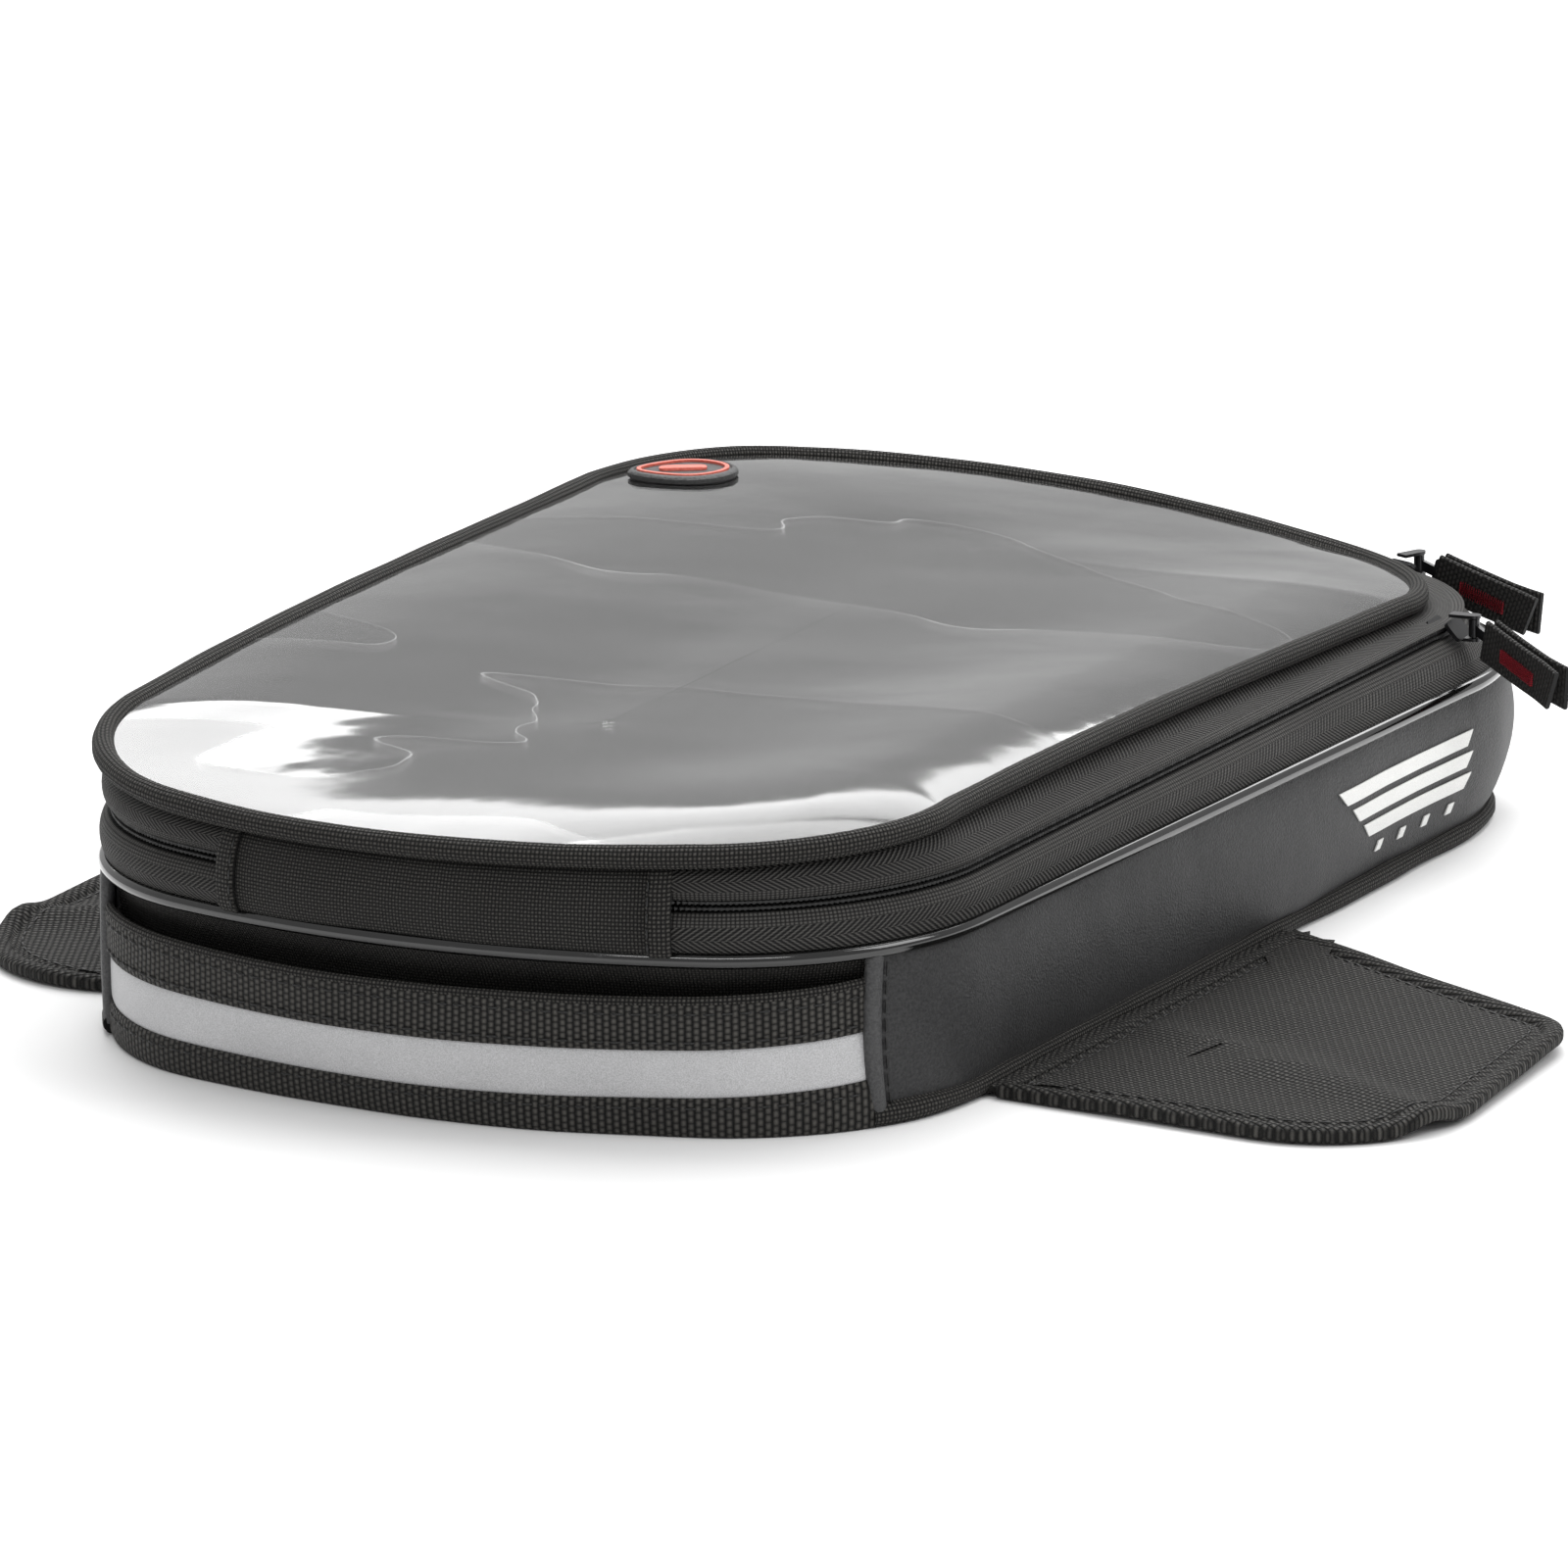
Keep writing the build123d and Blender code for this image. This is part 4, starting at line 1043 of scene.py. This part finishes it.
def rounded(points, radii, per=14):
    """A closed polygon with its corners rounded by the given radii."""
    out = []
    n = len(points)
    for i in range(n):
        p, a, b = (np.array(points[k % n], float) for k in (i, i - 1, i + 1))
        if radii[i] <= 0:
            out.append(p)
            continue
        da, db = (a - p) / np.linalg.norm(a - p), (b - p) / np.linalg.norm(b - p)
        half = math.acos(float(np.clip(da @ db, -1, 1))) / 2
        cut = radii[i] / math.tan(half)
        centre = p + (da + db) / np.linalg.norm(da + db) * radii[i] / math.sin(half)
        p0, p1 = p + da * cut, p + db * cut
        a0 = math.atan2(*(p0 - centre)[::-1])
        a1 = math.atan2(*(p1 - centre)[::-1])
        turn = (a1 - a0 + math.pi) % TAU - math.pi
        for q in np.linspace(0, 1, per):
            out.append(centre + radii[i] * np.array([math.cos(a0 + turn * q), math.sin(a0 + turn * q)]))
    return np.array(out)


def resample(loop, step):
    closed = np.vstack([loop, loop[:1]])
    run = run_along(closed)
    q = np.linspace(0, run[-1], int(run[-1] / step), endpoint=False)
    return np.stack([np.interp(q, run, closed[:, i]) for i in (0, 1)], -1)


def shrink(loop, amount):
    """Moves a counter-clockwise loop inwards along smoothed normals."""
    d = np.roll(loop, -2, 0) - np.roll(loop, 2, 0)
    n = np.stack([d[:, 1], -d[:, 0]], -1) / np.linalg.norm(d, axis=1)[:, None]
    return loop - n * amount


def flap(word, sign, reach, near_r):
    origin = np.array([sign * FLAP_X, 0.0])
    out_dir = np.array([sign * FLAP_N[0], FLAP_N[1]])
    along = np.array([0.06006 * sign, 0.9982])
    tip_y = FRONT_Y + 0.64 * (FAR_Y - FRONT_Y)
    loop = rounded([(0.0018, FRONT_Y), (reach, FRONT_Y - 0.007), (reach - 0.008, tip_y), (0.0018, FAR_Y)],
                   [0, near_r, 0.18 * reach, 0])
    loop = resample(loop, 0.0030)
    body = f"flap_{word}"

    def lift(ab):
        """The cloth's own waviness, nothing at the root."""
        a, b = ab[:, 0], ab[:, 1]
        away = np.clip(a / 0.03, 0, 1)
        far = np.clip((b - FRONT_Y) / (FAR_Y - FRONT_Y), 0, 1)
        curl = 0.0020 * np.clip(a / reach, 0, 1) ** 2 * np.clip((far - 0.05) / 0.5, 0, 1)
        fold = 0.0022 * np.exp(-((b + 0.100 + 0.42 * (a - 0.055)) / 0.007) ** 2)
        dips = np.array([noise.noise(Vector((x / 0.034, y / 0.034, 2.0 + sign))) for x, y in ab])
        dips = dips * 0.0007 + 0.0006
        return away * (curl + fold + dips)

    def world(ab, h):
        xy = origin + ab[:, :1] * out_dir + ab[:, 1:] * along
        return np.column_stack([xy, np.maximum(0.00015, h)])

    # (inset, half thickness in mm): a rolled edge, the sewn groove, then the padded middle
    rings = [(0.0, 0.70), (0.0003, 1.35), (0.0014, 1.95), (0.0030, 1.95), (0.0044, 1.45), (0.0052, 0.55),
             (0.0058, 0.50), (0.0068, 1.05), (0.0095, 1.40), (0.0140, 1.50)]
    rim_rings = 7
    centre = loop.mean(0)
    top = [(shrink(loop, inset), half) for inset, half in rings]
    inner = top[-1][0]
    for q in (0.16, 0.33, 0.5, 0.67, 0.84, 0.97):
        top.append((inner * (1 - q) + centre * q, 1.5 + 0.05 * q))
    over = [world(ab, 0.0016 + lift(ab) + h * MM) for ab, h in top]
    under = [world(ab, np.minimum(0.0016 + lift(ab) - h * MM * 0.95, 0.0006 if k >= rim_rings else 1))
             for k, (ab, h) in enumerate(top)][::-1]
    ends = [over[-1].mean(0)[None].repeat(len(loop), 0), under[0].mean(0)[None].repeat(len(loop), 0)]
    points = np.array([ends[1]] + under + over + [ends[0]])
    ring_ab = [top[-1][0]] + [ab for ab, _ in top[::-1]] + [ab for ab, _ in top] + [top[-1][0]]
    uv = np.array([np.vstack([ab, ab[:1]]) for ab in ring_ab])
    pad = grid(f"flap_{word}_cloth", points, FLAP_CLOTH, u=uv[..., 0], v=uv[..., 1], wrap_cols=True,
               **on(body, "ballistic_nylon", *(f"flap_{word}_{part}" for part in ("under", "cover", "edge"))))
    weld(pad)
    seam = shrink(loop, 0.0076)
    keep = seam[:, 0] > 0.006
    start = int(np.argmax(~keep & np.roll(keep, -1))) + 1
    order = np.roll(np.arange(len(seam)), -start)
    order = [i for i in order if keep[i]]
    ab = seam[order]
    path = world(ab, 0.0016 + lift(ab) + 0.0012)
    stitches(f"flap_{word}_stitch", path, np.tile([0.0, 0, 1], (len(path), 1)), THREAD, body=body)
    n = 60
    b = np.linspace(FRONT_Y + 0.001, FAR_Y - 0.001, n)
    rows = []
    for a, h in ((-0.0040, 0.0022), (-0.0015, 0.0028), (0.0005, 0.0026), (0.0030, 0.0024), (0.0065, 0.0034),
                 (0.0065, 0.0024), (0.0030, 0.0012), (0.0005, 0.0010), (-0.0015, 0.0012), (-0.0040, 0.0010)):
        rows.append(world(np.column_stack([np.full(n, a), b]), np.full(n, h)))
    points = np.array(rows)
    root = grid(f"flap_{word}_hinge", points, FLAP_CLOTH, wrap_rows=True, caps=True,
                slot="ballistic_nylon", nodes=[f"flap_{word}_root"])
    weld(root)
    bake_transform(root)


flap("right", 1, 0.109, 0.036)
flap("left", -1, 0.054, 0.039)


# ---- zip pulls
def pull(word, pin, heading, droop=15.0):
    h, d = math.radians(heading), math.radians(droop)
    out = Vector((math.cos(h), math.sin(h), 0))
    down = out * math.cos(d) - Vector((0, 0, 1)) * math.sin(d)
    across = Vector((-out.y, out.x, 0))
    up = across.cross(down)
    origin = Vector(pin) + Vector((0, 0, 0.0009))
    body = f"pull_{word}"
    n = 64
    x = np.linspace(0.0068, 0.0375, n)
    q = (x - x[0]) / (x[-1] - x[0])

    def spot(x, y, z):
        return np.array([tuple(origin + down * a + up * b + across * c) for a, b, c in zip(x, y, z)])

    width = 0.0054
    for turn, name in ((1, "a"), (-1, "b")):
        splay = 0.0009 * np.clip((q - 0.72) / 0.28, 0, 1) ** 1.5 + 0.0007
        ribs = 0.00010 * np.abs(np.sin(math.pi * x / 0.0012))
        sag = -0.0012 * q ** 2
        cut = 0.0016 * turn
        rows = []
        profile = [(-1.0, 0.25), (-0.93, 0.0), (-0.5, 0.0), (0.0, 0.0), (0.5, 0.0), (0.93, 0.0), (1.0, 0.25),
                   (1.0, 0.75), (0.93, 1.0), (0.5, 1.0), (0.0, 1.0), (-0.5, 1.0), (-0.93, 1.0), (-1.0, 0.75)]
        for w, layer in profile:
            y = w * width + sag
            z = turn * (splay + 0.0012 * layer + (ribs if layer == 1.0 else -ribs * 0.5) * (abs(w) < 0.95))
            rows.append(spot(x + cut * w * q * 0.5, y, z))
        rows = np.array(rows if turn > 0 else rows[::-1])
        v = np.array([0, .5, 2.5, 5, 7.5, 9.5, 10, 10.5, 11, 13, 15.5, 18, 20, 20.5, 21]) * MM
        obj = grid(f"pull_{word}_web_{name}", rows, PULL_WEB, u=x, v=v, wrap_rows=True, caps=True,
                   **on(body, "webbing", f"pull_webbing_{word}"))
        weld(obj)
        m = 40
        zig = np.linspace(0.0150, 0.0290, m)
        path = spot(zig, np.where(np.arange(m) % 2, 0.0019, -0.0013) - 0.0002,
                    np.full(m, turn * (0.0007 + 0.0012 + 0.0003)))
        t = frames_along(path)
        side = np.tile(np.array(across) * turn, (m, 1))
        tube(f"pull_{word}_red_{name}", path, np.cross(side, t), side, 0.00032, RED, wrap=False, sides=5,
             caps=True, **on(body, "red_thread", f"pull_stitching_{word}"))


pull("far", (0.0867429, 0.1792034, 0.053), -14.0)
pull("corner", (0.1263577, 0.118922, 0.053), -33.0)

# ---- camera, floor and light
AZ, EL, ROLL, DIST = math.radians(26.32), math.radians(14.33), math.radians(-0.97), 2.321
TARGET = Vector((0.0063, -0.0257, 0.0364))
back = Vector((math.sin(AZ) * math.cos(EL), -math.cos(AZ) * math.cos(EL), math.sin(EL)))
right = Vector((math.cos(AZ), math.sin(AZ), 0))
upward = back.cross(right)
side = right * math.cos(ROLL) + upward * math.sin(ROLL)
over = -right * math.sin(ROLL) + upward * math.cos(ROLL)
camera_data = bpy.data.cameras.new("camera")
camera_data.lens, camera_data.sensor_width = 221.4, 36.0
camera_data.clip_start, camera_data.clip_end = 0.05, 60.0
camera = bpy.data.objects.new("camera", camera_data)
bpy.context.scene.collection.objects.link(camera)
spot = TARGET + back * DIST
camera.matrix_world = Matrix([(side[i], over[i], back[i], spot[i]) for i in range(3)] + [(0, 0, 0, 1)])
bpy.context.scene.camera = camera

floor_mesh = bpy.data.meshes.new("floor")
floor_mesh.from_pydata([(15 * x, 15 * y, -0.0001) for x, y in ((-1, -1), (1, -1), (1, 1), (-1, 1))], [],
                       [(0, 1, 2, 3)])
m = Nodes("floor_paper")
m.surface(m.mix(m.noise(3.0, 2.0), (0.86, 0.86, 0.86), (0.90, 0.90, 0.90)), 0.9)
link("floor", floor_mesh, m.mat, sharp=0)


def area(name, spot, aim, size, power):
    light = bpy.data.lights.new(name, "AREA")
    light.shape, light.size, light.size_y, light.energy = "RECTANGLE", size[0], size[1], power
    lamp = bpy.data.objects.new(name, light)
    bpy.context.scene.collection.objects.link(lamp)
    lamp.location = spot
    lamp.rotation_mode = "QUATERNION"
    lamp.rotation_quaternion = (Vector(aim) - Vector(spot)).to_track_quat("-Z", "Y")


def around(azimuth, elevation, distance):
    a, e = math.radians(azimuth), math.radians(elevation)
    return Vector((math.sin(a) * math.cos(e), -math.cos(a) * math.cos(e), math.sin(e))) * distance


area("top_box", around(190, 68, 1.7), (0, 0, 0.03), (1.9, 1.2), 30.0)
area("back_box", around(204, 35.5, 2.2), (0.0, 0.0, 0.06), (2.2, 0.80), 16.0)
area("right_box", around(96, 38, 1.9), (0, 0, 0.03), (0.9, 0.9), 10.0)
area("front_fill", around(20, 47, 2.3), (0, 0, 0.04), (1.6, 0.22), 9.0)

world = bpy.data.worlds.new("studio")
world.use_nodes = True
world.node_tree.nodes["Background"].inputs[0].default_value = (1, 1, 1, 1)
world.node_tree.nodes["Background"].inputs[1].default_value = 0.55
bpy.context.scene.world = world
bpy.context.scene.view_settings.view_transform = "Standard"
